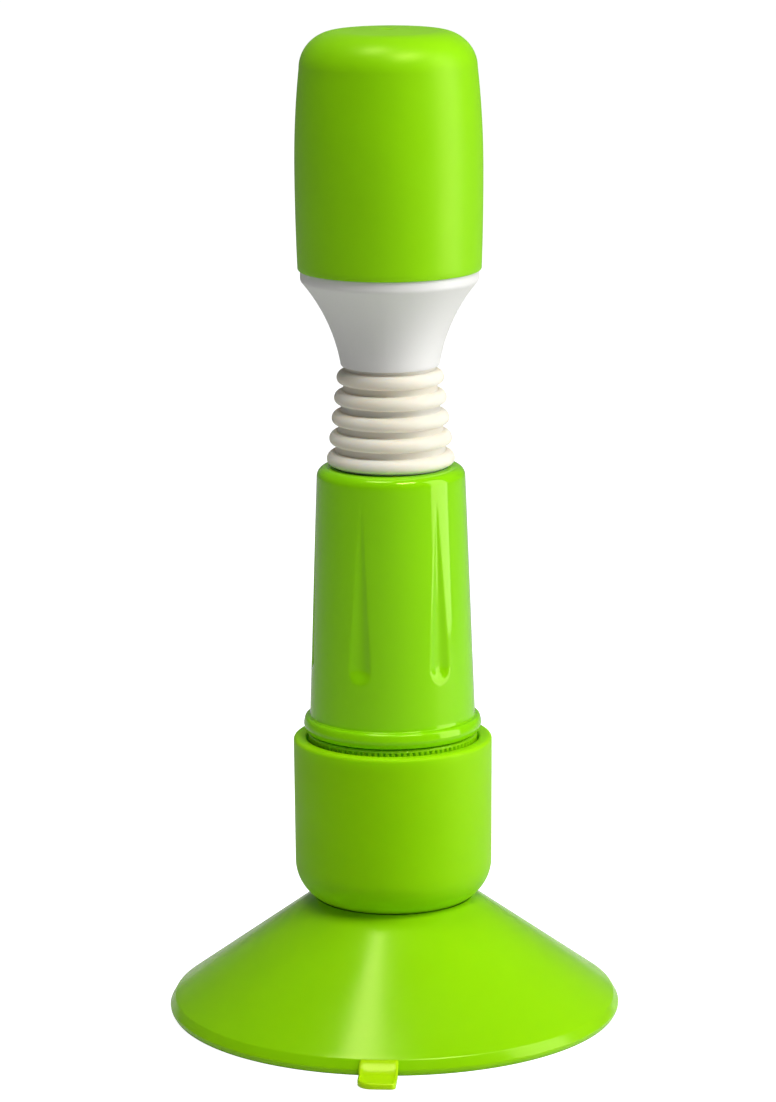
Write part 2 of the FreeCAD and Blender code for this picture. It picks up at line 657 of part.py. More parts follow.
def make_twist_cap():
    """Knurled battery cap with an inner thread; turning it works the switch."""
    body = new_body("twist_cap")
    revolve(body, "Cap", [
        ("0", "cap_base + cap_recess_depth"),
        ("cap_recess_radius", "cap_base + cap_recess_depth", "cap_top_rounding"),
        ("cap_recess_radius", "cap_base"),
        ("cap_radius", "cap_base", "cap_foot_rounding"),
        ("cap_radius", "cap_top", "cap_top_rounding"),
        ("cap_bore", "cap_top"),
        ("cap_bore", "cap_shoulder"),
        ("cell_bore", "cap_shoulder"),
        ("cell_bore", "cap_inner_floor", "cap_floor"),
        ("0", "cap_inner_floor"),
    ])
    thread_ridge(body, "Inner_thread", "cap_bore + thread_root", "cap_bore - thread_depth",
                 "female_thread_base")
    doc.recompute()
    plain_volume = body.Shape.Volume
    sketch = new_sketch(body, "XY_Plane", "Knurl_groove")
    draw_outline(sketch, [
        ("cap_radius - knurl_depth", "0"),
        ("knurl_mouth_radius", "-knurl_mouth / 2"),
        ("knurl_mouth_radius", "knurl_mouth / 2"),
    ])
    sketch.setExpression("AttachmentOffset.Base.z", bound("cap_base + knurl_start"))
    groove = body.newObject("PartDesign::Pocket", "Knurl")
    groove.Profile = sketch
    groove.Reversed = True
    groove.setExpression("Length", bound("cap_length - knurl_start - knurl_end"))
    polar_pattern(body, groove, (sketch, ["N_Axis"]), "knurl_count")
    doc.recompute()
    if body.Shape.Volume >= plain_volume:
        raise RuntimeError("the knurl cut nothing")
    return finish_part(body, "twist_cap")


def make_cap_contact():
    """Brass strip in the cap that joins the two cells."""
    strip = block("Contact_strip", "2 * cell_offset + 4 * cell_stud_radius", "3 * cell_stud_radius",
                  "contact_thickness", "cap_inner_floor")
    ends = cylinder("Contact_ends", "cell_bore - cap_floor", "contact_thickness", "cap_inner_floor")
    return finish_part(common("Cap_contact", [strip, ends]), "cap_contact")


def make_cell(label, side, flipped):
    """One round cell; the pair stands side by side, one of them upside down."""
    body = new_body(label)
    can = "cell_diameter / 2"
    revolve(body, "Cell", [
        ("0", "0"),
        (can, "0", "cell_edge"),
        (can, "cell_length - cell_stud_height", "cell_edge"),
        ("cell_stud_radius", "cell_length - cell_stud_height"),
        ("cell_stud_radius", "cell_length", "cell_edge"),
        ("0", "cell_length"),
    ])
    if flipped:
        body.Placement = Placement(Vector(), Rotation(Vector(1, 0, 0), 180))
    body.setExpression("Placement.Base.x", bound(side + "cell_offset"))
    body.setExpression("Placement.Base.z", bound("cell_top" if flipped else "cell_base"))
    return finish_part(body, label)


# ---- the handle ----

def make_handle_shell():
    """Tapered grip with a bead, teardrop flutes and a threaded spigot."""
    body = new_body("handle_shell")
    groove_top = "bead_base - seal_drop"
    groove_base = groove_top + " - seal_groove_width"
    groove_floor = "spigot_radius - seal_groove_depth"
    revolve(body, "Shell", [
        ("cell_bore", "spigot_base"),
        ("spigot_radius", "spigot_base"),
        ("spigot_radius", groove_base),
        (groove_floor, groove_base),
        (groove_floor, groove_top),
        ("spigot_radius", groove_top),
        ("spigot_radius", "bead_base"),
        ("bead_radius", "bead_base", "bead_rounding"),
        ("bead_radius", "bead_top", "bead_rounding"),
        ("handle_foot_radius", "bead_top"),
        ("handle_top_radius", "handle_top", "handle_shoulder"),
        ("lower_hole_radius", "handle_top"),
        ("lower_hole_radius", "handle_ceiling"),
        ("handle_inner_top", "handle_ceiling"),
        ("handle_inner_foot", "carrier_top"),
        ("cell_bore", "carrier_top"),
    ])
    thread_ridge(body, "Outer_thread", "spigot_radius - thread_root", "spigot_radius + thread_depth",
                 "male_thread_base")
    doc.recompute()
    plain_volume = body.Shape.Volume
    flute, sketch = make_flute(body)
    polar_pattern(body, flute, (sketch, ["V_Axis"]), "flute_count")
    doc.recompute()
    if body.Shape.Volume >= plain_volume:
        raise RuntimeError("the flutes cut nothing")
    body.setExpression("Placement.Rotation.Angle", bound("-flute_bearing"))
    return finish_part(body, "handle_shell")


def make_flute(body):
    """A teardrop groove: a ball that tapers to a point along the grip."""
    sketch = new_sketch(body, "XZ_Plane", "Flute_half")
    tip = Vector(number("flute_tip_radius"), number("flute_tip_height"), 0)
    ball = Vector(number("flute_ball_radius_out"), number("flute_foot_height"), 0)
    radius = number("flute_ball")
    along = unit(ball, tip)
    inward = Vector(-along.y, along.x, 0)
    share = radius / (tip - ball).Length
    touch = ball + along * radius * share + inward * radius * math.sqrt(1 - share ** 2)
    pole = ball - along * radius
    side = sketch.addGeometry(Part.LineSegment(tip, touch))
    circle = Part.Circle(ball, Vector(0, 0, 1), radius)
    touch_angle = math.atan2(touch.y - ball.y, touch.x - ball.x)
    pole_angle = math.atan2(pole.y - ball.y, pole.x - ball.x)
    arc = sketch.addGeometry(Part.ArcOfCircle(circle, touch_angle, pole_angle))
    middle = sketch.addGeometry(Part.LineSegment(pole, tip))
    axis = sketch.addGeometry(Part.LineSegment(pole, tip), True)
    place_point(sketch, side, 1, "tip", "flute_tip_radius", "flute_tip_height")
    place_point(sketch, arc, 3, "ball", "flute_ball_radius_out", "flute_foot_height")
    bind_last(sketch, Sketcher.Constraint("Radius", arc, radius), "ball_radius", "flute_ball")
    sketch.addConstraint(Sketcher.Constraint("Tangent", side, 2, arc, 1))
    sketch.addConstraint(Sketcher.Constraint("Coincident", arc, 2, middle, 1))
    sketch.addConstraint(Sketcher.Constraint("PointOnObject", arc, 3, middle))
    sketch.addConstraint(Sketcher.Constraint("Coincident", middle, 2, side, 1))
    sketch.addConstraint(Sketcher.Constraint("Coincident", axis, 1, middle, 1))
    sketch.addConstraint(Sketcher.Constraint("Coincident", axis, 2, middle, 2))
    flute = body.newObject("PartDesign::Groove", "Flute")
    flute.Profile = sketch
    flute.ReferenceAxis = (sketch, ["Axis0"])
    flute.Angle = 360
    return flute, sketch


def make_seal_ring():
    """Rubber ring in the spigot's groove that keeps water out of the cap."""
    ring = doc.addObject("Part::Torus", "Seal")
    ring.setExpression("Radius1", bound("spigot_radius - seal_groove_depth + seal_section"))
    ring.setExpression("Radius2", bound("seal_section"))
    ring.setExpression("Placement.Base.z", bound("bead_base - seal_drop - seal_groove_width / 2"))
    return finish_part(ring, "seal_ring")


def make_contact_carrier():
    """Insulating plate across the handle with two holes for the leads."""
    plate = cylinder("Carrier_plate", "cell_bore - carrier_gap", "carrier_thickness", "carrier_base")
    holes = [
        cylinder("Carrier_hole_" + side, "lead_radius", "carrier_thickness", "carrier_base", x_text)
        for side, x_text in (("left", "-lead_start_offset"), ("right", "lead_start_offset"))
    ]
    drilled = cut("Carrier", plate, fuse("Carrier_holes", holes))
    return finish_part(drilled, "contact_carrier")


def make_plus_contact():
    """Brass pad with a raised button that touches the upright cell's stud."""
    pad = cylinder("Plus_pad", "contact_pad_radius", "contact_thickness",
                   "carrier_base - contact_thickness", "-cell_offset")
    button = doc.addObject("Part::Cone", "Plus_button")
    button.setExpression("Radius1", bound("cell_stud_radius / 2"))
    button.setExpression("Radius2", bound("cell_stud_radius"))
    button.setExpression("Height", bound("contact_room - contact_thickness"))
    button.setExpression("Placement.Base.x", bound("-cell_offset"))
    button.setExpression("Placement.Base.z", bound("cell_top"))
    return finish_part(fuse("Plus_contact", [pad, button]), "plus_contact")


def make_minus_spring():
    """Conical wire spring between the carrier and the inverted cell."""
    body = new_body("minus_spring")
    wire_base = "cell_top + contact_wire"
    sketch = new_sketch(body, "XZ_Plane", "Spring_wire")
    draw_circle(sketch, "contact_pad_radius", wire_base, "contact_wire / 2", "wire")
    coil = body.newObject("PartDesign::AdditiveHelix", "Spring")
    coil.Profile = sketch
    coil.ReferenceAxis = (sketch, ["V_Axis"])
    coil.Mode = 0
    coil.setExpression("Pitch", bound("(contact_room - 2 * contact_wire) / 2"))
    coil.setExpression("Height", bound("contact_room - 2 * contact_wire"))
    coil.Angle = -45
    body.setExpression("Placement.Base.x", bound("cell_offset"))
    return finish_part(body, "minus_spring")


# ---- the flexible neck ----

def make_neck_clamp_lower():
    """Ring that locks the neck's lower collar in the handle."""
    outer = "lower_collar_bore - grommet_gap"
    flange_base = "lower_grommet_base - clamp_flange"
    return turned_part("neck_clamp_lower", [
        (outer + " - clamp_wall", flange_base),
        ("lower_collar_radius + grommet_lip - grommet_gap", flange_base),
        ("lower_collar_radius + grommet_lip - grommet_gap", "lower_grommet_base - grommet_gap"),
        (outer, "lower_grommet_base - grommet_gap"),
        (outer, "neck_base + clamp_reach"),
        (outer + " - clamp_wall", "neck_base + clamp_reach"),
    ])


def make_neck_clamp_upper():
    """Ring that locks the neck's upper collar in the funnel."""
    outer = "upper_collar_bore - grommet_gap"
    flange_top = "upper_grommet_top + grommet_gap + clamp_flange"
    return turned_part("neck_clamp_upper", [
        (outer + " - clamp_wall", "neck_top - clamp_reach"),
        (outer, "neck_top - clamp_reach"),
        (outer, "upper_grommet_top + grommet_gap"),
        ("upper_collar_radius + grommet_lip - grommet_gap", "upper_grommet_top + grommet_gap"),
        ("upper_collar_radius + grommet_lip - grommet_gap", flange_top),
        (outer + " - clamp_wall", flange_top),
    ])


def make_neck_bellows():
    """Ribbed flexible neck with a grommet collar at each end."""
    body = new_body("neck_bellows")
    revolve(body, "Neck_tube", [
        ("lower_collar_bore", "lower_grommet_base"),
        ("lower_collar_radius + grommet_lip", "lower_grommet_base"),
        ("lower_collar_radius + grommet_lip", "lower_grommet_top"),
        ("lower_collar_radius", "lower_grommet_top"),
        ("lower_collar_radius", "neck_base"),
        ("neck_foot_radius", "neck_base"),
        ("neck_top_radius", "neck_top"),
        ("upper_collar_radius", "neck_top"),
        ("upper_collar_radius", "upper_grommet_base"),
        ("upper_collar_radius + grommet_lip", "upper_grommet_base"),
        ("upper_collar_radius + grommet_lip", "upper_grommet_top"),
        ("upper_collar_bore", "upper_grommet_top"),
        ("upper_collar_bore", "neck_top - clamp_reach - grommet_gap"),
        ("neck_top_radius - neck_wall", "neck_top - clamp_reach - neck_wall"),
        ("neck_foot_radius - neck_wall", "neck_base + clamp_reach + neck_wall"),
        ("lower_collar_bore", "neck_base + clamp_reach + grommet_gap"),
    ])
    for index in range(int(number("rib_count"))):
        height = "neck_base + rib_first + %d * rib_pitch" % index
        share = "(rib_first + %d * rib_pitch) / neck_length" % index
        root = "neck_foot_radius - neck_taper * " + share
        make_rib(body, "Rib_%d" % (index + 1), root, height)
    return finish_part(body, "neck_bellows")


def make_rib(body, name, root, height):
    """One rib: a flat ring with a round edge."""
    crest = root + " + rib_height"
    revolve(body, name, [
        (root + " - rib_root", height + " - rib_section"),
        (crest, height + " - rib_section", "rib_section - rib_flat"),
        (crest, height + " + rib_section", "rib_section - rib_flat"),
        (root + " - rib_root", height + " + rib_section"),
    ])


def make_lead(label, side):
    """An insulated lead from the contacts up the neck to the motor."""
    body = new_body(label)
    route = new_sketch(body, "XZ_Plane", "Lead_route")
    near = side + "lead_neck_offset"
    wide = side + "lead_start_offset"
    draw_outline(route, [
        (wide, "lead_start"),
        (wide, "lead_start + (handle_ceiling - lead_start) / 3", "lead_bend"),
        (near, "lead_start + (handle_ceiling - lead_start) * 3 / 4", "lead_bend"),
        (near, "upper_grommet_top + lead_rise", "lead_bend / 2"),
        (side + "terminal_offset", "upper_grommet_top + lead_rise + lead_spread", "lead_bend / 2"),
        (side + "terminal_offset", "terminal_base"),
    ], closed=False)
    section = new_sketch(body, "XY_Plane", "Lead_section")
    draw_circle(section, wide, "0", "lead_radius", "lead")
    section.setExpression("AttachmentOffset.Base.z", bound("lead_start"))
    lead = body.newObject("PartDesign::AdditivePipe", "Lead")
    lead.Profile = section
    lead.Spine = (route, [])
    return finish_part(body, label)


# ---- the head ----

def make_head_funnel():
    """White trumpet that carries the head on the neck."""
    inner_foot = "funnel_foot_radius - funnel_wall"
    inner_ring = "funnel_ring_radius - funnel_wall"
    return turned_part("head_funnel", [
        ("upper_hole_radius", "funnel_base"),
        ("funnel_foot_radius", "funnel_base"),
        ("funnel_ring_radius", "funnel_ring_base"),
        ("funnel_ring_radius", "funnel_top"),
        (inner_ring, "funnel_top"),
        (inner_ring, "funnel_ring_base"),
        (inner_foot, "funnel_floor"),
        ("upper_hole_radius", "funnel_floor"),
    ], {1: ("funnel_sweep", -1), 5: ("funnel_sweep", 1)})


def make_head_housing():
    """Rigid shell under the soft cover, with two bosses for the cradle."""
    body = new_body("head_housing")
    skirt_radius = "funnel_ring_radius - funnel_wall - housing_gap"
    revolve(body, "Housing", [
        (skirt_radius + " - housing_wall", "housing_base"),
        (skirt_radius, "housing_base"),
        (skirt_radius, "funnel_top"),
        ("housing_radius", "funnel_top"),
        ("housing_radius", "housing_top", "housing_shoulder"),
        ("0", "housing_top"),
        ("0", "housing_top - housing_wall"),
        ("housing_bore", "housing_top - housing_wall", "housing_shoulder - housing_wall"),
        ("housing_bore", "funnel_top + housing_wall"),
        (skirt_radius + " - housing_wall", "funnel_top + housing_wall"),
    ])
    for side, sign in (("left", "-"), ("right", "")):
        sketch = new_sketch(body, "XY_Plane", "Boss_" + side)
        draw_circle(sketch, sign + "boss_offset", "0", "boss_radius", "boss")
        draw_circle(sketch, sign + "boss_offset", "0", "screw_radius", "hole")
        sketch.setExpression("AttachmentOffset.Base.z", bound("boss_base"))
        boss = body.newObject("PartDesign::Pad", "Boss_pad_" + side)
        boss.Profile = sketch
        boss.setExpression("Length", bound("boss_length"))
    return finish_part(body, "head_housing")


def make_head_cover():
    """Soft satin cover pulled over the rigid shell."""
    body = new_body("head_cover")
    inner = "housing_radius + housing_gap"
    turned = revolve(body, "Cover", [
        (inner, "funnel_top"),
        ("cover_foot_radius", "funnel_top"),
        ("cover_top_radius", "head_top"),
        ("0", "head_top"),
        ("0", "head_top - cover_wall"),
        (inner, "head_top - cover_wall", "housing_shoulder"),
    ], {1: ("cover_crown", 1)})
    doc.recompute()
    top_radius = number("cover_top_radius")
    top = number("head_top")
    rim = [
        "Edge%d" % (index + 1)
        for index, edge in enumerate(turned.Shape.Edges)
        if abs(edge.BoundBox.ZMin - top) < 0.01 and abs(edge.BoundBox.XMax - top_radius) < 0.01
    ]
    shoulder = body.newObject("PartDesign::Fillet", "Cover_shoulder")
    shoulder.Base = (turned, rim)
    shoulder.setExpression("Radius", bound("cover_shoulder"))
    return finish_part(body, "head_cover")


# ---- the motor ----

def flatted(name, radius, flat, height, base):
    """A round bar with two flats, facing front and back."""
    bar = cylinder(name + "_round", radius, height, base)
    sides = block(name + "_flats", "2 * (%s)" % radius, flat, height, base)
    return common(name, [bar, sides])


def make_motor_can():
    """Drawn steel can with a bearing boss on top."""
    outside = flatted("Can_outside", "motor_radius", "motor_flat", "motor_length", "motor_base")
    nose = cylinder("Can_nose", "motor_nose_radius", "motor_nose_height", "motor_top")
    inside = flatted("Can_inside", "motor_radius - motor_wall", "motor_flat - 2 * motor_wall",
                     "motor_length - motor_wall", "motor_base")
    bore = cylinder("Can_bore", "shaft_radius + shaft_clearance", "motor_length + motor_nose_height",
                    "motor_base")
    hollow = fuse("Can_hollow", [inside, bore])
    return finish_part(cut("Can", fuse("Can_solid", [outside, nose]), hollow), "motor_can")


def make_motor_end_bell():
    """Plastic end of the motor with the lower bush and slots for the terminals."""
    plate = flatted("Bell_plate", "motor_radius", "motor_flat", "end_bell_height", "end_bell_base")
    plug = flatted("Bell_plug", "motor_radius - motor_wall", "motor_flat - 2 * motor_wall",
                   "motor_wall", "motor_base")
    bore = cylinder("Bell_bore", "shaft_radius + shaft_clearance", "end_bell_height + motor_wall",
                    "end_bell_base")
    return finish_part(cut("End_bell", fuse("Bell_solid", [plate, plug]), bore), "motor_end_bell")


def make_motor_terminals():
    """Two solder tags under the end bell."""
    tags = [
        block("Tag_" + side, "contact_thickness", "terminal_width", "terminal_length",
              "terminal_base", x_text)
        for side, x_text in (("left", "-terminal_offset"), ("right", "terminal_offset"))
    ]
    return finish_part(fuse("Tags", tags), "motor_terminals")


def make_motor_magnets():
    """Two curved magnets against the can's round sides."""
    base = "motor_top - motor_wall - magnet_length - magnet_drop"
    outer = cylinder("Magnet_outer", "motor_radius - motor_wall - magnet_glue", "magnet_length", base)
    inner = cylinder("Magnet_inner", "motor_radius - motor_wall - magnet_thickness",
                     "magnet_length", base)
    ring = cut("Magnet_ring", outer, inner)
    band = block("Magnet_band", "2 * motor_radius", "magnet_width", "magnet_length", base)
    return finish_part(common("Magnets", [ring, band]), "motor_magnets")


def make_motor_armature():
    """Three-pole rotor, simplified to its outer shape, on the shaft."""
    base = "motor_base + motor_wall + core_rise"
    core = cylinder("Core", "armature_radius", "armature_length", base)
    bore = cylinder("Core_bore", "shaft_radius", "armature_length", base)
    slots = []
    for index in range(3):
        slot = block("Core_slot_%d" % (index + 1), "armature_radius", "shaft_radius",
                     "armature_length", base, "armature_radius")
        turned = doc.addObject("Part::Feature", "Core_slot_turned_%d" % (index + 1))
        doc.recompute()
        turned.Shape = slot.Shape.copy()
        turned.Placement = Placement(Vector(), Rotation(Vector(0, 0, 1), 120 * index)) * slot.Placement
        slots.append(turned)
    hollow = fuse("Core_hollow", [bore] + slots)
    return finish_part(cut("Armature", core, hollow), "motor_armature")


def make_motor_shaft():
    """Steel shaft from the end bell's bush to just above the weight."""
    base = "end_bell_base + shaft_recess"
    height = "weight_top + shaft_end - (%s)" % base
    return finish_part(cylinder("Shaft", "shaft_radius", height, base), "motor_shaft")


def make_eccentric_weight():
    """Half-round weight whose spin makes the head buzz."""
    body = new_body("eccentric_weight")
    sketch = new_sketch(body, "XY_Plane", "Weight_outline")
    draw_outline(sketch, [
        ("weight_radius", "0"),
        ("-weight_radius", "0"),
    ], {0: ("weight_arc", 1)})
    sketch.setExpression("AttachmentOffset.Base.z", bound("weight_base"))
    half = body.newObject("PartDesign::Pad", "Weight")
    half.Profile = sketch
    half.setExpression("Length", bound("weight_length"))
    hub_sketch = new_sketch(body, "XY_Plane", "Weight_hub")
    draw_circle(hub_sketch, "0", "0", "weight_hub_radius", "hub")
    hub_sketch.setExpression("AttachmentOffset.Base.z", bound("weight_base"))
    hub = body.newObject("PartDesign::Pad", "Weight_hub_pad")
    hub.Profile = hub_sketch
    hub.setExpression("Length", bound("weight_length"))
    bore_sketch = new_sketch(body, "XY_Plane", "Weight_bore")
    draw_circle(bore_sketch, "0", "0", "shaft_radius", "bore")
    bore_sketch.setExpression("AttachmentOffset.Base.z", bound("weight_base"))
    bore = body.newObject("PartDesign::Pocket", "Weight_bore_pocket")
    bore.Profile = bore_sketch
    bore.Reversed = True
    bore.setExpression("Length", bound("weight_length"))
    return finish_part(body, "eccentric_weight")


def make_motor_cradle():
    """Plastic ring that holds the motor in the head's shell."""
    ring = cylinder("Cradle_ring", "housing_bore - cradle_gap", "cradle_height", "cradle_base")
    pocket = flatted("Cradle_pocket", "motor_radius + cradle_gap", "motor_flat + 2 * cradle_gap",
                     "cradle_height", "cradle_base")
    holes = [
        cylinder("Cradle_hole_" + side, "screw_radius + screw_clearance", "cradle_height",
                 "cradle_base", x_text)
        for side, x_text in (("left", "-boss_offset"), ("right", "boss_offset"))
    ]
    return finish_part(cut("Cradle", ring, fuse("Cradle_hollow", [pocket] + holes)), "motor_cradle")


def make_cradle_screws():
    """Two pan-head screws from below, through the cradle into the bosses."""
    pieces = []
    for side, x_text in (("left", "-boss_offset"), ("right", "boss_offset")):
        pieces.append(cylinder("Screw_head_" + side, "screw_head_radius", "screw_head_height",
                               "cradle_base - screw_head_height", x_text))
        pieces.append(cylinder("Screw_shank_" + side, "screw_radius", "screw_length",
                               "cradle_base", x_text))
    return finish_part(fuse("Screws", pieces), "cradle_screws")


def make_all():
    fill_sheet()
    make_suction_disc()
    make_pull_tab()
    make_holder_cup()
    make_floor_washer()
    make_hub_rivet()
    make_twist_cap()
    make_cap_contact()
    make_cell("battery_left", "-", False)
    make_cell("battery_right", "", True)
    make_handle_shell()
    make_seal_ring()
    make_contact_carrier()
    make_plus_contact()
    make_minus_spring()
    make_neck_clamp_lower()
    make_neck_bellows()
    make_lead("lead_red", "-")
    make_lead("lead_black", "")
    make_neck_clamp_upper()
    make_head_funnel()
    make_head_housing()
    make_head_cover()
    make_motor_can()
    make_motor_end_bell()
    make_motor_terminals()
    make_motor_magnets()
    make_motor_cradle()
    make_cradle_screws()
    make_motor_armature()
    make_motor_shaft()
    make_eccentric_weight()


def check_document():
    """Stop if any object failed to compute or any sub-part has no sound shape."""
    doc.recompute()
    for item in doc.Objects:
        if "Invalid" in item.State or "Error" in item.State:
            raise RuntimeError("%s (%s) failed: %s" % (item.Name, item.Label, item.State))
    for item in parts:
        if item.Shape.isNull() or not item.Shape.isValid():
            raise RuntimeError("%s has no sound shape" % item.Label)


def write_parts():
    os.makedirs("parts", exist_ok=True)
    for item in parts:
        item.Shape.exportStep("parts/" + item.Label + ".step")
        box = item.Shape.BoundBox
        print("%-18s solids %d  volume %9.1f  z %7.2f to %7.2f" % (
            item.Label, len(item.Shape.Solids), item.Shape.Volume, box.ZMin, box.ZMax))


make_all()
check_document()
write_parts()
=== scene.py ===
# %% [markdown]
# # A cordless massager on its suction stand
#
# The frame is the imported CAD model: hidden motor, cells, screws and the knurled
# cap stay as they are and only get a finish. Everything soft or highly polished
# is modelled again here, on the same sizes, because its roundings are what the
# light shows. All lengths below are written in millimetres and turned to metres
# when a mesh is made.

import json
import math

import bmesh
import bpy
from mathutils import Matrix, Vector


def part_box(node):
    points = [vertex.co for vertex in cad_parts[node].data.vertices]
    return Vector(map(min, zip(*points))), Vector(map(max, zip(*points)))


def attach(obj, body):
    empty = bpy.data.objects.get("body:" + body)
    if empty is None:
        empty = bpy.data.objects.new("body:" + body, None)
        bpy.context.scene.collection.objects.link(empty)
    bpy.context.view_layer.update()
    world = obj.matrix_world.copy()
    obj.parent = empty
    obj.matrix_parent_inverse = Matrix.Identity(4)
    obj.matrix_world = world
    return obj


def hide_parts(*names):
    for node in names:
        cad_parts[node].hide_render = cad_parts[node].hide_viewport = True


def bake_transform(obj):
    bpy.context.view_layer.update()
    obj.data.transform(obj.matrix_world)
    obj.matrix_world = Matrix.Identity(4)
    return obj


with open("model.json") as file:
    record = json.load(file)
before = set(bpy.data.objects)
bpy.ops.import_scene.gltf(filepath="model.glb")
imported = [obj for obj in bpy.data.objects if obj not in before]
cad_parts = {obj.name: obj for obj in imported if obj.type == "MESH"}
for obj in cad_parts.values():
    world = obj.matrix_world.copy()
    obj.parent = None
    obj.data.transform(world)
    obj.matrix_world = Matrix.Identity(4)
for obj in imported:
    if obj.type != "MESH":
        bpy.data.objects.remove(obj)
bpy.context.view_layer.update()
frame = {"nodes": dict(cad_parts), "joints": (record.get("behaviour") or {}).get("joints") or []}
MM = 0.001

# %% [markdown]
# ## Where things are
#
# Heights and radii come from the boxes of the CAD nodes, so a piece made here
# lands where the CAD model put it. Only the roundings and small steps that a
# box can't tell are written as numbers next to the piece that has them.

# %% Read heights and radii from the frame


def span(node):
    """Lowest height, highest height and outer radius of a node, in millimetres."""
    low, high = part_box(node)
    return low.z / MM, high.z / MM, (high.x - low.x) / 2 / MM


_, DISC_TOP, DISC_RADIUS = span("suction_disc")
CUP_LOW, CUP_TOP, CUP_RADIUS = span("holder_cup")
CAP_TOP = span("twist_cap")[1]
HANDLE_LOW, HANDLE_TOP, BEAD_RADIUS = span("handle_shell")
GROMMET_LOW, GROMMET_TOP, RIB_RADIUS = span("neck_bellows")
FUNNEL_LOW, FUNNEL_TOP, RING_RADIUS = span("head_funnel")
COVER_LOW, COVER_TOP, COVER_RADIUS = span("head_cover")
CARRIER_TOP = span("contact_carrier")[1]
CUP_FLOOR = span("floor_washer")[0]
TERMINAL_LOW = span("motor_terminals")[0]
print(f"disc {DISC_RADIUS:.1f} mm, cup {CUP_LOW:.1f} to {CUP_TOP:.1f} mm, top {COVER_TOP:.1f} mm")

# %% [markdown]
# ## Turning a piece
#
# Nearly every visible piece is round, so the work is done as on a lathe: draw
# half a section, round its corners, and turn it about the upright axis. A
# screw modifier could turn it too, but making the rings directly gives clean
# quads, one vertex on the axis, and rows close enough for a piece to bend.

# %% Draw a section


def section(corners, step=0.35):
    """Closed outline through corners (radius, height) or (radius, height, rounding)."""
    points = []
    count = len(corners)
    for index, corner in enumerate(corners):
        here = Vector(corner[:2])
        rounding = corner[2] if len(corner) > 2 else 0
        if not rounding:
            points.append(here)
            continue
        before = (Vector(corners[index - 1][:2]) - here).normalized()
        after = (Vector(corners[(index + 1) % count][:2]) - here).normalized()
        half = before.angle(after) / 2
        centre = here + (before + after).normalized() * rounding / math.sin(half)
        arm = here + before * rounding / math.tan(half) - centre
        end = here + after * rounding / math.tan(half) - centre
        sweep = math.pi - 2 * half
        turn = sweep if arm.x * end.y - arm.y * end.x > 0 else -sweep
        pieces = max(4, math.ceil(rounding * sweep / step))
        for piece in range(pieces + 1):
            arm_now = Matrix.Rotation(turn * piece / pieces, 2) @ arm
            points.append(centre + arm_now)
    return points


def divided(points, longest):
    """The same closed outline with long straight runs cut into shorter ones."""
    result = []
    count = len(points)
    for index, here in enumerate(points):
        result.append(here)
        following = points[(index + 1) % count]
        pieces = math.ceil((following - here).length / longest)
        for piece in range(1, pieces):
            result.append(here.lerp(following, piece / pieces))
    return result


# %% [markdown]
# ## From section to solid
#
# Each point of the section becomes a ring of vertices, and each pair of rings
# a band of quads. A point on the axis becomes one vertex, so the quads next to
# it close to triangles. Edges sharper than about forty degrees stay crisp and
# everything else is shaded smooth, as a moulding looks.

# %% Turn a section into a mesh

ON_AXIS = 1e-4


def lathe(name, points, around=192, push=None):
    """Turn an outline about the axis; push(angle, radius, height) may shift a radius."""
    vertices = []
    rings = []
    for radius, height in points:
        if radius < ON_AXIS:
            rings.append([len(vertices)] * around)
            vertices.append((0, 0, height * MM))
            continue
        rings.append(list(range(len(vertices), len(vertices) + around)))
        for step in range(around):
            angle = 2 * math.pi * step / around
            reach = radius + (push(angle, radius, height) if push else 0)
            spot = (reach * math.cos(angle) * MM, reach * math.sin(angle) * MM, height * MM)
            vertices.append(spot)
    faces = []
    for index, lower in enumerate(rings):
        upper = rings[(index + 1) % len(rings)]
        for step in range(around):
            following = (step + 1) % around
            corners = [lower[step], lower[following], upper[following], upper[step]]
            face = list(dict.fromkeys(corners))
            if len(face) > 2:
                faces.append(face)
    return solid(name, vertices, faces)


def solid(name, vertices, faces, sharp=40):
    """A closed mesh object with outward normals and smooth shading."""
    mesh = bpy.data.meshes.new(name)
    mesh.from_pydata(vertices, [], faces)
    shell = bmesh.new()
    shell.from_mesh(mesh)
    bmesh.ops.recalc_face_normals(shell, faces=shell.faces)
    shell.to_mesh(mesh)
    shell.free()
    mesh.shade_smooth()
    mesh.set_sharp_from_angle(angle=math.radians(sharp))
    piece = bpy.data.objects.new(name, mesh)
    bpy.context.scene.collection.objects.link(piece)
    return piece


# %% [markdown]
# ## Finishes
#
# Soft coloured rubber and vinyl let a little light in: their thin edges glow
# lighter and their shadows are never grey. Subsurface scattering does that, so
# the limes below all use some. What tells them apart is the surface: the head
# has a fine satin grain, the cup is smooth but dull, the disc and the handle
# are polished. Grain is a bump from fine noise and polish is a low roughness
# with a slow waviness, because a moulded gloss surface is never quite flat.

# %% A start for every finish


def new_finish(name, colour, roughness):
    """A material with its shader's constant values set on the shader itself."""
    finish = bpy.data.materials.new(name)
    finish.use_nodes = True
    tree = finish.node_tree
    shader = tree.nodes["Principled BSDF"]
    shader.inputs["Base Color"].default_value = (*colour, 1)
    shader.inputs["Roughness"].default_value = roughness
    return finish, tree, shader


def noise(tree, size_mm, detail=3.0):
    """Noise whose lumps are about size_mm across, in the piece's own space."""
    place = tree.nodes.new("ShaderNodeTexCoord")
    texture = tree.nodes.new("ShaderNodeTexNoise")
    texture.inputs["Scale"].default_value = 1 / (size_mm * MM)
    texture.inputs["Detail"].default_value = detail
    tree.links.new(place.outputs["Object"], texture.inputs["Vector"])
    return texture.outputs["Fac"]


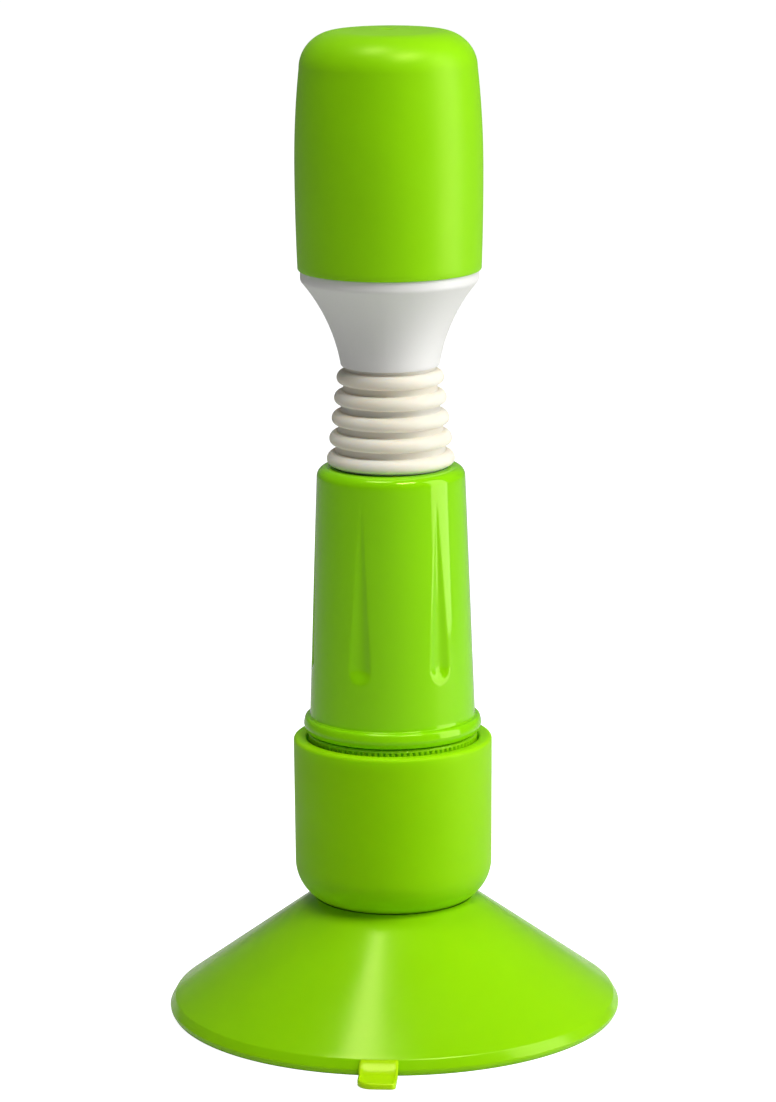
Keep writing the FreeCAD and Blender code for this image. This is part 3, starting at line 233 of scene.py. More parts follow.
def vary_colour(tree, shader, factor, dark, light):
    """Let the colour drift between two near shades."""
    ramp = tree.nodes.new("ShaderNodeValToRGB")
    ramp.color_ramp.elements[0].position = 0.3
    ramp.color_ramp.elements[1].position = 0.7
    ramp.color_ramp.elements[0].color = (*dark, 1)
    ramp.color_ramp.elements[1].color = (*light, 1)
    tree.links.new(factor, ramp.inputs["Fac"])
    tree.links.new(ramp.outputs["Color"], shader.inputs["Base Color"])


def vary_roughness(tree, shader, factor, smooth, rough):
    """Let the polish drift, as wiped and handled surfaces do."""
    spread = tree.nodes.new("ShaderNodeMapRange")
    spread.inputs["From Min"].default_value = 0.3
    spread.inputs["From Max"].default_value = 0.7
    spread.inputs["To Min"].default_value = smooth
    spread.inputs["To Max"].default_value = rough
    tree.links.new(factor, spread.inputs["Value"])
    tree.links.new(spread.outputs["Result"], shader.inputs["Roughness"])


def raise_surface(tree, shader, layers):
    """Stack bumps given as (factor, depth in mm)."""
    normal = None
    for factor, depth in layers:
        bump = tree.nodes.new("ShaderNodeBump")
        bump.inputs["Strength"].default_value = 1.0
        bump.inputs["Distance"].default_value = depth * MM
        tree.links.new(factor, bump.inputs["Height"])
        if normal:
            tree.links.new(normal, bump.inputs["Normal"])
        normal = bump.outputs["Normal"]
    tree.links.new(normal, shader.inputs["Normal"])


# %% [markdown]
# ## Glow and sheen
#
# Red, green and blue travel different distances inside a coloured rubber, and
# that is its glow: in lime, blue hardly travels at all. The sheen is the tint
# of its reflections. Real gloss reflects white, but a strong lime under soft
# light keeps even its highlights greenish, so the tint leans that way.

# %% How light enters a material

LIME_GLOW = (0.9, 1.0, 0.12)
GLOW = {
    "lime": LIME_GLOW,
    "polished": LIME_GLOW,
    "satin": LIME_GLOW,
    "cream": (1.0, 0.8, 0.55),
    "white": (1.0, 0.95, 0.9),
}
SHEEN = {
    "lime": (0.92, 1.0, 0.1),
    "polished": (0.98, 1.0, 0.3),
    "satin": (0.98, 1.0, 0.22),
    "cream": (1.0, 0.98, 0.92),
    "white": (1.0, 1.0, 1.0),
}


def let_light_in(shader, weight, depth_mm, tint, shine=0.5):
    """Scatter a share of the light below the surface; shine scales its reflections."""
    shader.inputs["Specular IOR Level"].default_value = shine
    shader.inputs["Specular Tint"].default_value = (*SHEEN[tint], 1)
    shader.inputs["Subsurface Weight"].default_value = weight
    shader.inputs["Subsurface Scale"].default_value = depth_mm * MM
    shader.inputs["Subsurface Radius"].default_value = GLOW[tint]


def shade(colour, amount):
    """The same colour, darker or lighter."""
    return tuple(channel * amount for channel in colour)


print("ways light enters:", ", ".join(GLOW))

# %% [markdown]
# ## Lime rubber, vinyl and plastic
#
# One lime is moulded in four ways. The head's cover has a satin surface with a
# grain too fine to count, which spreads its highlights. The cup is duller and
# softer. The disc and its tab are glossy vinyl, slightly wavy and wiped. The
# handle is the hardest and shiniest piece. Colour and polish drift a little in
# each of them, because no moulding is perfectly even.

# %% The limes

LIME = (0.295, 0.690, 0.0015)
HEAD_LIME = (0.275, 0.690, 0.0015)
HANDLE_LIME = (0.255, 0.690, 0.0015)
# The tab's lime is the lime made lighter and yellower: the light that shines through the thin tab is
# painted into its colour.
TAB_LIME_PAINTED_LIGHT = (0.44, 0.78, 0.003)


def satin_grained_rubber(name):
    """Head cover: soft satin rubber with a fine spark-eroded grain."""
    finish, tree, shader = new_finish(name, HEAD_LIME, 0.38)
    vary_colour(tree, shader, noise(tree, 18), shade(HEAD_LIME, 0.965), shade(HEAD_LIME, 1.02))
    vary_roughness(tree, shader, noise(tree, 7), 0.34, 0.40)
    raise_surface(tree, shader, [(noise(tree, 9), 0.02), (noise(tree, 0.4, 1), 0.007)])
    let_light_in(shader, 0.18, 2.2, "satin", 0.4)
    return finish


def dull_soft_rubber(name):
    """Cup: smooth dull rubber whose lip glows where it is thin."""
    finish, tree, shader = new_finish(name, LIME, 0.44)
    vary_colour(tree, shader, noise(tree, 25), shade(LIME, 0.97), shade(LIME, 1.02))
    vary_roughness(tree, shader, noise(tree, 10), 0.40, 0.48)
    raise_surface(tree, shader, [(noise(tree, 6), 0.02), (noise(tree, 0.5, 2), 0.003)])
    let_light_in(shader, 0.5, 3.2, "lime", 0.25)
    return finish


def polished_vinyl(name, colour):
    """Disc and tab: glossy soft vinyl with faint wiping marks."""
    finish, tree, shader = new_finish(name, colour, 0.16)
    vary_colour(tree, shader, noise(tree, 30), shade(colour, 0.97), shade(colour, 1.02))
    vary_roughness(tree, shader, noise(tree, 14), 0.13, 0.22)
    raise_surface(tree, shader, [(noise(tree, 16, 1), 0.05), (noise(tree, 2.2, 2), 0.002)])
    let_light_in(shader, 0.4, 3.0, "polished", 0.4)
    return finish


def polished_hard_plastic(name, colour):
    """Handle and cap: high-gloss moulded plastic with a slow waviness."""
    finish, tree, shader = new_finish(name, colour, 0.06)
    vary_colour(tree, shader, noise(tree, 30), shade(colour, 0.98), shade(colour, 1.01))
    vary_roughness(tree, shader, noise(tree, 12), 0.04, 0.09)
    raise_surface(tree, shader, [(noise(tree, 14, 1), 0.03), (noise(tree, 0.9, 2), 0.0004)])
    let_light_in(shader, 0.15, 1.5, "polished")
    return finish


HEAD_RUBBER = satin_grained_rubber("head_rubber")
CUP_RUBBER = dull_soft_rubber("cup_rubber")
DISC_VINYL = polished_vinyl("disc_vinyl", shade(LIME, 0.95))
# The tab's finish takes that lighter lime, so light through the tab is painted into its base colour.
TAB_VINYL_PAINTED_LIGHT = polished_vinyl("tab_vinyl", TAB_LIME_PAINTED_LIGHT)
HANDLE_PLASTIC = polished_hard_plastic("handle_plastic", HANDLE_LIME)
print("lime, red to green:", round(LIME[0] / LIME[1], 2))

# %% [markdown]
# ## White, cream and what is inside
#
# The neck is cream rubber in which light travels far, so its grooves stay warm
# instead of grey. The funnel is a plain white moulding. Small inner pieces
# share one finish for mouldings and one for drawn metal, where noise is
# stretched along the axis to look brushed. A cell's sleeve takes its one
# coloured band from the height alone.

# %% White, cream, metal and cell sleeves


def cream_rubber(name):
    """Ribbed neck: cream rubber whose colour drifts a little."""
    cream = (0.83, 0.79, 0.675)
    finish, tree, shader = new_finish(name, cream, 0.5)
    vary_colour(tree, shader, noise(tree, 8), (0.82, 0.775, 0.655), (0.84, 0.805, 0.70))
    vary_roughness(tree, shader, noise(tree, 4), 0.45, 0.55)
    raise_surface(tree, shader, [(noise(tree, 0.8), 0.004)])
    let_light_in(shader, 0.6, 1.5, "cream", 0.25)
    return finish


def white_moulding(name, roughness=0.46):
    """Funnel and inner mouldings: smooth white plastic."""
    white = (0.82, 0.815, 0.79)
    finish, tree, shader = new_finish(name, white, roughness)
    vary_colour(tree, shader, noise(tree, 22), (0.812, 0.805, 0.78), (0.825, 0.82, 0.795))
    vary_roughness(tree, shader, noise(tree, 9), roughness - 0.02, roughness + 0.03)
    raise_surface(tree, shader, [(noise(tree, 12, 1), 0.015), (noise(tree, 0.6), 0.001)])
    let_light_in(shader, 0.2, 1.5, "white")
    return finish


def plain_moulding(name, colour, roughness):
    """Small plastic and rubber pieces: a moulded surface with a light texture."""
    finish, tree, shader = new_finish(name, colour, roughness)
    vary_colour(tree, shader, noise(tree, 3), shade(colour, 0.92), shade(colour, 1.06))
    vary_roughness(tree, shader, noise(tree, 2), roughness - 0.05, roughness + 0.06)
    raise_surface(tree, shader, [(noise(tree, 0.25), 0.004)])
    return finish


def drawn_metal(name, colour, roughness):
    """Steel and brass: brushed along the axis, with duller patches."""
    finish, tree, shader = new_finish(name, colour, roughness)
    shader.inputs["Metallic"].default_value = 1.0
    place = tree.nodes.new("ShaderNodeTexCoord")
    stretch = tree.nodes.new("ShaderNodeMapping")
    stretch.inputs["Scale"].default_value = (1, 1, 0.06)
    lines = tree.nodes.new("ShaderNodeTexNoise")
    lines.inputs["Scale"].default_value = 1 / (0.25 * MM)
    lines.inputs["Detail"].default_value = 2
    tree.links.new(place.outputs["Object"], stretch.inputs["Vector"])
    tree.links.new(stretch.outputs["Vector"], lines.inputs["Vector"])
    vary_colour(tree, shader, noise(tree, 3), shade(colour, 0.85), shade(colour, 1.05))
    vary_roughness(tree, shader, noise(tree, 1.5), roughness - 0.07, roughness + 0.09)
    raise_surface(tree, shader, [(lines.outputs["Fac"], 0.003)])
    return finish


def cell_sleeve(name, low, high):
    """Shrink sleeve of a cell: dark, with one copper-coloured band."""
    dark = (0.02, 0.022, 0.025)
    copper = (0.55, 0.27, 0.10)
    band_start = 0.72
    finish, tree, shader = new_finish(name, dark, 0.3)
    place = tree.nodes.new("ShaderNodeTexCoord")
    split = tree.nodes.new("ShaderNodeSeparateXYZ")
    spread = tree.nodes.new("ShaderNodeMapRange")
    ramp = tree.nodes.new("ShaderNodeValToRGB")
    spread.inputs["From Min"].default_value = low * MM
    spread.inputs["From Max"].default_value = high * MM
    ramp.color_ramp.interpolation = "CONSTANT"
    ramp.color_ramp.elements[0].color = (*dark, 1)
    ramp.color_ramp.elements[1].position = band_start
    ramp.color_ramp.elements[1].color = (*copper, 1)
    tree.links.new(place.outputs["Object"], split.inputs["Vector"])
    tree.links.new(split.outputs["Z"], spread.inputs["Value"])
    tree.links.new(spread.outputs["Result"], ramp.inputs["Fac"])
    tree.links.new(ramp.outputs["Color"], shader.inputs["Base Color"])
    vary_roughness(tree, shader, noise(tree, 3), 0.22, 0.34)
    raise_surface(tree, shader, [(noise(tree, 1.2), 0.004)])
    return finish


NECK_RUBBER = cream_rubber("neck_rubber")
FUNNEL_WHITE = white_moulding("funnel_white")
print("made", NECK_RUBBER.name, "and", FUNNEL_WHITE.name)

# %% [markdown]
# ## Handing a piece over
#
# A new piece is given three things: its finish, the body it moves with, and the
# CAD nodes it stands for. A piece that bends is given no body here.

# %% Finish a piece and tie it to the frame


def finish_piece(piece, finish, body, slot, *nodes):
    """Give a piece its finish, its body and the nodes it stands for; slot is not used."""
    piece.data.materials.append(finish)
    if body:
        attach(piece, body)
    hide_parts(*nodes)
    print(f"{piece.name}: {len(piece.data.polygons)} faces")


# %% [markdown]
# ## The suction disc
#
# A suction disc is one moulding: a soft cone, thicker at its hub, that ends in
# a rounded rim. Its upper face is polished and shows every light as a long
# streak, so it needs many rings. The disc flattens when the cup is pushed
# down: its rim stays on the table and its hub follows the cup.

# %% Turn the suction disc

RIM_HEIGHT = 3.25
RIM_INSET = 1.25
FOOT_WIDTH = 3.7
CONE_WALL = 4.2
SEAT_INSET = 4.05
WEB = 2.9
RIVET_HOLE = 3.15
BOSS_RADIUS = 8.0
BOSS_DROP = 5.8
RIVET_LOW = span("hub_rivet")[0]

cone_foot = DISC_RADIUS - RIM_INSET
cone_top = CUP_RADIUS - SEAT_INSET
slope = (DISC_TOP - RIM_HEIGHT) / (cone_foot - cone_top)
foot_outer = DISC_RADIUS - 0.4
foot_inner = foot_outer - FOOT_WIDTH
hollow_foot = RIM_HEIGHT + slope * (cone_foot - foot_inner) - CONE_WALL
ceiling = CUP_LOW - WEB
ceiling_radius = cone_foot - (ceiling + CONE_WALL - RIM_HEIGHT) / slope
seat_low = CUP_LOW - 0.02

disc_section = section([
    (foot_inner, 0, 0.3),
    (foot_outer - 0.15, 0, 0.25),
    (DISC_RADIUS - 0.1, 0.75, 0.3),
    (DISC_RADIUS, 1.35, 0.5),
    (cone_foot + 0.15, RIM_HEIGHT + 0.05, 1.1),
    (cone_top, DISC_TOP + 0.12, 0.3),
    (cone_top - 2.6, seat_low, 0.6),
    (RIVET_HOLE, seat_low),
    (RIVET_HOLE, RIVET_LOW - 0.3),
    (0, RIVET_LOW - 0.3),
    (0, ceiling - BOSS_DROP),
    (BOSS_RADIUS, ceiling - BOSS_DROP, 1.0),
    (BOSS_RADIUS, ceiling, 1.0),
    (ceiling_radius, ceiling, 1.5),
    (foot_inner, hollow_foot, 0.5),
])
disc = lathe("suction_disc_soft", divided(disc_section, 1.2), around=256)
finish_piece(disc, DISC_VINYL, None, "disc_vinyl", "suction_disc")
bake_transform(disc)

# %% [markdown]
# ## The pull tab
#
# The tab is part of the same moulding but only a millimetre thick, so more
# light comes through it and it looks yellower. It leaves the rim's upper edge,
# slopes to the table and lies flat, with a fine raised border. A flat strip
# bent in code keeps that border crisp. It turns on its own thin root.

# %% Shape the pull tab

tab_joint = next(joint for joint in frame["joints"] if joint["name"] == "tab_lift")
TAB_OUT = Vector((tab_joint["pos_m"][0], tab_joint["pos_m"][1], 0)).normalized()
TAB_SIDE = Vector((-TAB_OUT.y, TAB_OUT.x, 0))
tab_low, tab_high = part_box("pull_tab")
TAB_END = max(-tab_low.y, tab_high.x) / MM
TAB_HALF = 4.05
TAB_THICK = 1.0
TAB_BURIED = 0.9
TAB_RUN_DOWN = 2.6
ROOT_BELOW_RIM = 0.95
WIDE_CORNER = 3.2
TIGHT_CORNER = 1.1
BORDER = 0.7
BORDER_RISE = 0.22
BORDER_SLOPE = 0.25
EDGE_ROUNDING = 0.3


def tab_height(reach):
    """Height of the tab's underside at a distance from the axis."""
    lie = tab_low.z / MM
    root = cone_foot + 0.1
    share = min(1, max(0, (reach - root) / (DISC_RADIUS + TAB_RUN_DOWN - root)))
    return lie + (RIM_HEIGHT - ROOT_BELOW_RIM - lie) * (1 - share * share * (3 - 2 * share))


def tab_half_width(reach, side):
    """Half the tab's width, less where its free corners are rounded."""
    corner = WIDE_CORNER if side < 0 else TIGHT_CORNER
    over = max(0, reach - (TAB_END - corner))
    return TAB_HALF - corner + math.sqrt(max(0, corner * corner - over * over))


def tab_thickness(reach, wide, across):
    """Height of the tab's upper face above its underside, with its raised border."""
    edge = min(tab_half_width(reach, across) - abs(wide), TAB_END - reach)
    rise = min(1, max(0, (BORDER - edge) / BORDER_SLOPE))
    past_rim = min(1, max(0, (reach - DISC_RADIUS) / 1.5))
    rounding = EDGE_ROUNDING * max(0, 1 - edge / EDGE_ROUNDING) ** 2
    return TAB_THICK + BORDER_RISE * rise * past_rim - rounding


def shape_tab(rows=40, columns=24):
    """The tab as two skins, upper and lower, and a band round their edge."""
    first = cone_foot - TAB_BURIED
    reaches = [first + (TAB_END - first) * (1 - (1 - row / rows) ** 1.4) for row in range(rows + 1)]
    vertices = []
    for is_top in (True, False):
        for reach in reaches:
            for column in range(columns + 1):
                across = column / columns * 2 - 1
                wide = across * tab_half_width(reach, across)
                lift = tab_thickness(reach, wide, across) if is_top else 0
                spot = TAB_OUT * reach + TAB_SIDE * wide
                vertices.append((spot.x * MM, spot.y * MM, (tab_height(reach) + lift) * MM))
    faces = []
    across_row = columns + 1
    skin = across_row * (rows + 1)
    for row in range(rows):
        for column in range(columns):
            a = row * across_row + column
            b = a + across_row
            faces.append((a, a + 1, b + 1, b))
            faces.append((a + skin, b + skin, b + skin + 1, a + skin + 1))
    border = [row * across_row for row in range(rows + 1)]
    border += [rows * across_row + column for column in range(1, across_row)]
    border += [row * across_row + columns for row in reversed(range(rows))]
    border += list(reversed(range(1, columns)))
    for here, following in zip(border, border[1:] + border[:1]):
        faces.append((here, following, following + skin, here + skin))
    return solid("pull_tab_soft", vertices, faces, sharp=50)


tab = shape_tab()
finish_piece(tab, TAB_VINYL_PAINTED_LIGHT, None, "tab_vinyl", "pull_tab")
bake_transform(tab)

# %% [markdown]
# ## The cup
#
# The cup is a thick soft tube with a well rounded bottom. Its lip is the part
# the eye rests on: flat, with two soft edges, and lighter than the wall because
# light comes out of it. It is turned like the disc.

# %% Turn the cup

CUP_WALL = 2.75
CUP_BOTTOM_ROUNDING = 9.0
CUP_BORE = CUP_RADIUS - CUP_WALL

cup_section = section([
    (RIVET_HOLE, CUP_LOW),
    (CUP_RADIUS - 0.15, CUP_LOW, CUP_BOTTOM_ROUNDING),
    (CUP_RADIUS + 0.05, CUP_TOP, 0.8),
    (CUP_BORE, CUP_TOP, 0.6),
    (CUP_BORE, CUP_FLOOR, 5.0),
    (RIVET_HOLE, CUP_FLOOR),
])
print(f"cup bore {2 * CUP_BORE:.1f} mm, floor at {CUP_FLOOR:.1f} mm")
cup = lathe("holder_cup_soft", divided(cup_section, 1.5), around=224)
finish_piece(cup, CUP_RUBBER, "cup", "cup_rubber", "holder_cup")

# %% [markdown]
# ## The handle
#
# The handle is a thin polished shell: a tapered grip, a bead at its foot and,
# out of sight, a threaded spigot that the cap screws on. Its six teardrop
# flutes have no hard edges, so they are not cut but pressed in: while the
# section is turned, a point that lies in a flute is pulled towards the axis by
# a smooth amount. That gives highlights that flow in and out of each flute.

# %% Press the flutes in

BEAD_LOW = CAP_TOP + 0.3
BEAD_TOP = BEAD_LOW + 3.35
GRIP_FOOT = 17.7
GRIP_TOP = 15.72
FLUTES = 6
FLUTE_TURN = math.radians(-53.6)
FLUTE_TIP = HANDLE_TOP - 3.0
FLUTE_BALL = BEAD_LOW + 16.4
FLUTE_HALF = 2.8
FLUTE_DEEP = 0.85
OUTSIDE_ONLY = GRIP_TOP - 0.6


def flute_depth(angle, radius, height):
    """How far the flutes pull a point of the grip's outside inwards."""
    if not BEAD_TOP < height < FLUTE_TIP or radius < OUTSIDE_ONLY:
        return 0
    pitch = 2 * math.pi / FLUTES
    from_middle = (angle - FLUTE_TURN + pitch / 2) % pitch - pitch / 2
    across = abs(from_middle) * radius
    if height >= FLUTE_BALL:
        share = (FLUTE_TIP - height) / (FLUTE_TIP - FLUTE_BALL)
        away = across
    else:
        share = 1
        away = math.hypot(across, height - FLUTE_BALL)
    half = FLUTE_HALF * share + 1e-6
    if away >= half:
        return 0
    hollow = 1 - (away / half) ** 2
    return -FLUTE_DEEP * share * hollow * hollow * (3 - 2 * hollow) ** 0.35


print(f"{FLUTES} flutes, {FLUTE_TIP - FLUTE_BALL + FLUTE_HALF:.1f} mm long and {FLUTE_DEEP} mm deep")

# %% [markdown]
# ## The handle's section
#
# The outline runs up the outside, from the spigot over the bead and the grip,
# and back down the inside. The notch in the spigot holds the seal ring. The
# bore is straight where the cells slide in and tapers with the grip above them,
# so the shell stays thin and cools evenly in its mould.

# %% Turn the handle

SPIGOT = 15.85
BORE = 14.8
SEAL_LOW = BEAD_LOW - 3.2
SEAL_TOP = BEAD_LOW - 1.6
SEAL_DEEP = 0.4
NECK_HOLE = 9.0
CEILING = HANDLE_TOP - 2.2
INNER_FOOT = 14.55
INNER_TOP = 13.42

handle_section = section([
    (BORE, HANDLE_LOW, 0.2),
    (SPIGOT, HANDLE_LOW, 0.3),
    (SPIGOT, SEAL_LOW),
    (SPIGOT - SEAL_DEEP, SEAL_LOW),
    (SPIGOT - SEAL_DEEP, SEAL_TOP),
    (SPIGOT, SEAL_TOP),
    (SPIGOT, BEAD_LOW, 0.2),
    (BEAD_RADIUS - 0.45, BEAD_LOW, 0.5),
    (BEAD_RADIUS + 0.1, BEAD_LOW + 1.55, 1.4),
    (BEAD_RADIUS - 0.35, BEAD_TOP + 0.1, 0.8),
    (GRIP_FOOT, BEAD_TOP - 0.05, 0.35),
    (GRIP_TOP, HANDLE_TOP, 2.2),
    (NECK_HOLE, HANDLE_TOP, 0.2),
    (NECK_HOLE, CEILING, 0.2),
    (INNER_TOP, CEILING, 0.8),
    (INNER_FOOT, CARRIER_TOP, 0.1),
    (BORE, CARRIER_TOP),
])
handle = lathe("handle_polished", divided(handle_section, 0.8), around=360, push=flute_depth)
finish_piece(handle, HANDLE_PLASTIC, "handle", "handle_plastic", "handle_shell")

# %% [markdown]
# ## The thread
#
# The spigot's thread is a low ridge that climbs three millimetres a turn. It
# is swept here as a strip of quads along a helix, fading into the spigot at
# both ends as a moulded thread does. It stays a piece of its own, sunk a little
# into the spigot, and moves with the handle.

# %% Wind the thread

THREAD_RISE = 3.0
THREAD_LOW = HANDLE_LOW + 2.2
THREAD_TURNS = 3.0
THREAD_HEIGHT = 0.75
THREAD_SUNK = 0.2
THREAD_FADE = 14


def wind_thread(steps=240):
    """A low ridge along a helix, closed at both ends."""
    vertices = []
    for step in range(steps + 1):
        share = step / steps
        angle = 2 * math.pi * THREAD_TURNS * share + FLUTE_TURN
        fade = min(1, share * THREAD_FADE, (1 - share) * THREAD_FADE)
        foot = THREAD_LOW + THREAD_RISE * THREAD_TURNS * share
        crest = SPIGOT - 0.1 + (THREAD_HEIGHT + 0.1) * fade
        root = SPIGOT - THREAD_SUNK
        for radius, lift in ((root, 0), (root, 1.3), (crest, 1.0), (crest, 0.3)):
            spot = Vector((radius * math.cos(angle), radius * math.sin(angle), foot + lift))
            vertices.append(spot * MM)
    faces = []
    for step in range(steps):
        for side in range(4):
            a = step * 4 + side
            b = step * 4 + (side + 1) % 4
            faces.append((a, b, b + 4, a + 4))
    faces.append((0, 1, 2, 3))
    faces.append(tuple(steps * 4 + side for side in range(4)))
    return solid("handle_thread", vertices, faces, sharp=35)


thread = wind_thread()
thread.data.materials.append(HANDLE_PLASTIC)
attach(thread, "handle")
print(f"thread: {THREAD_TURNS:.0f} turns, {THREAD_RISE * THREAD_TURNS:.0f} mm high")

# %% [markdown]
# ## The ribbed neck
#
# The neck is one rubber tube with five ribs. It bends at two places, fore and
# aft near its foot and sideways near its top, and a piece can only be blended
# between two bodies. It is made in two halves that meet in the groove under the
# fourth rib, where the join is hidden: the lower half runs from the handle to
# the middle of the neck, the upper half from there to the head.

# %% Draw the ribs

NECK_LOW = HANDLE_TOP + 0.1
NECK_TOP = FUNNEL_LOW - 0.1
RIBS = 5
RIB_FIRST = 1.75
RIB_PITCH = 4.35
RIB_CREST_FALL = 0.126
GROOVE_DEEP = 1.65
RIB_HALF = 1.45


def rib_radius(height):
    """Crest radius of a rib at a height above the neck's foot."""
    return RIB_RADIUS + 0.55 - RIB_CREST_FALL * (height + RIB_FIRST)


def neck_outside(height):
    """Outer radius of the neck at a height above its foot."""
    nearest = round((height - RIB_FIRST) / RIB_PITCH)
    nearest = min(RIBS - 1, max(0, nearest))
    away = abs(height - RIB_FIRST - nearest * RIB_PITCH)
    crest = rib_radius(height)
    if away >= RIB_HALF:
        return crest - GROOVE_DEEP
    bulge = math.sqrt(1 - (away / RIB_HALF) ** 2)
    return crest - GROOVE_DEEP + GROOVE_DEEP * bulge ** 0.8


def neck_run(low, high, rows):
    """Outside points of the neck between two heights above its foot."""
    points = []
    for row in range(rows + 1):
        height = low + (high - low) * row / rows
        points.append(Vector((neck_outside(height), NECK_LOW + height)))
    return points


NECK_LENGTH = NECK_TOP - NECK_LOW
SPLIT = RIB_FIRST + 2.5 * RIB_PITCH
print(f"neck {NECK_LENGTH:.1f} mm long, {RIBS} ribs, halves meet {SPLIT:.1f} mm up")

# %% [markdown]
# ## The neck's two halves
#
# Each half is a closed outline: a collar with a lip that a clamp ring holds in
# the rigid piece beside it, the ribbed outside, and a plain bore. Both end on
# the same ring of the groove, so the join stays shut.

# %% Make the two halves

COLLAR_LOW = 8.9
COLLAR_TOP = 6.4
COLLAR_WALL = 1.5
NECK_WALL = 2.0
LIP = 1.9
LIP_THICK = 1.2
lip_low_top = GROMMET_LOW + LIP_THICK
lip_top_low = GROMMET_TOP - LIP_THICK

lower_points = [
    Vector((COLLAR_LOW - COLLAR_WALL, GROMMET_LOW)),
    Vector((COLLAR_LOW + LIP, GROMMET_LOW)),
    Vector((COLLAR_LOW + LIP, lip_low_top)),
    Vector((COLLAR_LOW, lip_low_top)),
    Vector((COLLAR_LOW, NECK_LOW)),
]
lower_points += neck_run(0.02, SPLIT, 150)
lower_points += [
    Vector((neck_outside(SPLIT) - NECK_WALL, NECK_LOW + SPLIT)),
    Vector((9.6, NECK_LOW + 4.2)),
    Vector((COLLAR_LOW - COLLAR_WALL, NECK_LOW + 2.0)),
]
upper_points = neck_run(SPLIT, NECK_LENGTH, 130)
upper_points += [
    Vector((COLLAR_TOP, NECK_TOP)),
    Vector((COLLAR_TOP, lip_top_low)),
    Vector((COLLAR_TOP + LIP, lip_top_low)),
    Vector((COLLAR_TOP + LIP, GROMMET_TOP)),
    Vector((COLLAR_TOP - COLLAR_WALL, GROMMET_TOP)),
    Vector((COLLAR_TOP - COLLAR_WALL, NECK_TOP - 2.0)),
    Vector((7.8, NECK_TOP - 4.2)),
    Vector((neck_outside(SPLIT) - NECK_WALL, NECK_LOW + SPLIT)),
]
neck_lower = lathe("neck_lower_ribs", divided(lower_points, 1.2), around=160)
neck_upper = lathe("neck_upper_ribs", divided(upper_points, 1.2), around=160)
for half in (neck_lower, neck_upper):
    finish_piece(half, NECK_RUBBER, None, "neck_rubber", "neck_bellows")
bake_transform(neck_lower)
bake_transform(neck_upper)

# %% [markdown]
# ## The two leads
#
# Two insulated leads run from the cells' contacts, through the neck, to the
# motor. They have to bend with the neck, so each is made in the same two
# halves. Their route is a soft S on each side of the axis, swept with a ring.

# %% Sweep the leads

LEAD_RADIUS = 0.7
LEAD_FOOT = 6.0
LEAD_NECK = 1.8
LEAD_HEAD = 5.5


def ease(value, low, high):
    """0 below low, 1 above high, and a smooth rise between them."""
    share = min(1, max(0, (value - low) / (high - low)))
    return share * share * (3 - 2 * share)


def lead_offset(height):
    """Distance of a lead from the axis at a height."""
    inwards = ease(height, CARRIER_TOP + 8, HANDLE_TOP - 7)
    outwards = ease(height, GROMMET_TOP + 1, TERMINAL_LOW - 6)
    return LEAD_FOOT + (LEAD_NECK - LEAD_FOOT) * inwards + (LEAD_HEAD - LEAD_NECK) * outwards


def sweep_lead(name, side, low, high, rows=90, around=14):
    """A round lead along its S, from one height to another, closed at both ends."""
    vertices = []
    for row in range(rows + 1):
        height = low + (high - low) * row / rows
        lean = (lead_offset(height + 0.05) - lead_offset(height - 0.05)) / 0.1 * side
        along = Vector((lean, 0, 1)).normalized()
        across = Vector((along.z, 0, -along.x))
        centre = Vector((side * lead_offset(height), 0, height))
        for step in range(around):
            angle = 2 * math.pi * step / around
            arm = across * math.cos(angle) + Vector((0, 1, 0)) * math.sin(angle)
            vertices.append((centre + arm * LEAD_RADIUS) * MM)
    faces = []
    for row in range(rows):
        for step in range(around):
            a = row * around + step
            b = row * around + (step + 1) % around
            faces.append((a, b, b + around, a + around))
    faces.append(tuple(range(around)))
    faces.append(tuple(rows * around + step for step in range(around)))
    return solid(name, vertices, faces)


LEADS = {
    "lead_red": (-1, (0.45, 0.012, 0.01)),
    "lead_black": (1, (0.012, 0.012, 0.013)),
}
for node, (side, colour) in LEADS.items():
    insulation = plain_moulding(node + "_insulation", colour, 0.35)
    lower = sweep_lead(node + "_lower", side, CARRIER_TOP, NECK_LOW + SPLIT)
    upper = sweep_lead(node + "_upper", side, NECK_LOW + SPLIT, TERMINAL_LOW)
    for part in (lower, upper):
        finish_piece(part, insulation, None, node + "_pvc", node)
    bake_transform(lower)
    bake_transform(upper)

# %% [markdown]
# ## The funnel
#
# The white funnel is a hollow trumpet: a narrow foot that flares in one curve
# to a short upright ring. The curve is part of a circle, which is how a
# moulder would draw it, and its edges get the small roundings a mould leaves.

# %% Turn the funnel

FLARE = 37.0
FOOT_RADIUS = 10.5
FUNNEL_HOLE = 6.5
FUNNEL_WALL = 1.8
RING_LOW = FUNNEL_TOP - 2.3


def flare(start, end, radius, rows=36):
    """Points on a hollow arc from start to end, bulging towards the axis."""
    chord = end - start
    middle = (start + end) / 2
    outward = Vector((chord.y, -chord.x)).normalized()
    centre = middle + outward * math.sqrt(radius ** 2 - (chord.length / 2) ** 2)
    first = start - centre
    sweep = 2 * math.asin(chord.length / 2 / radius)
    return [centre + Matrix.Rotation(-sweep * row / rows, 2) @ first for row in range(rows + 1)]


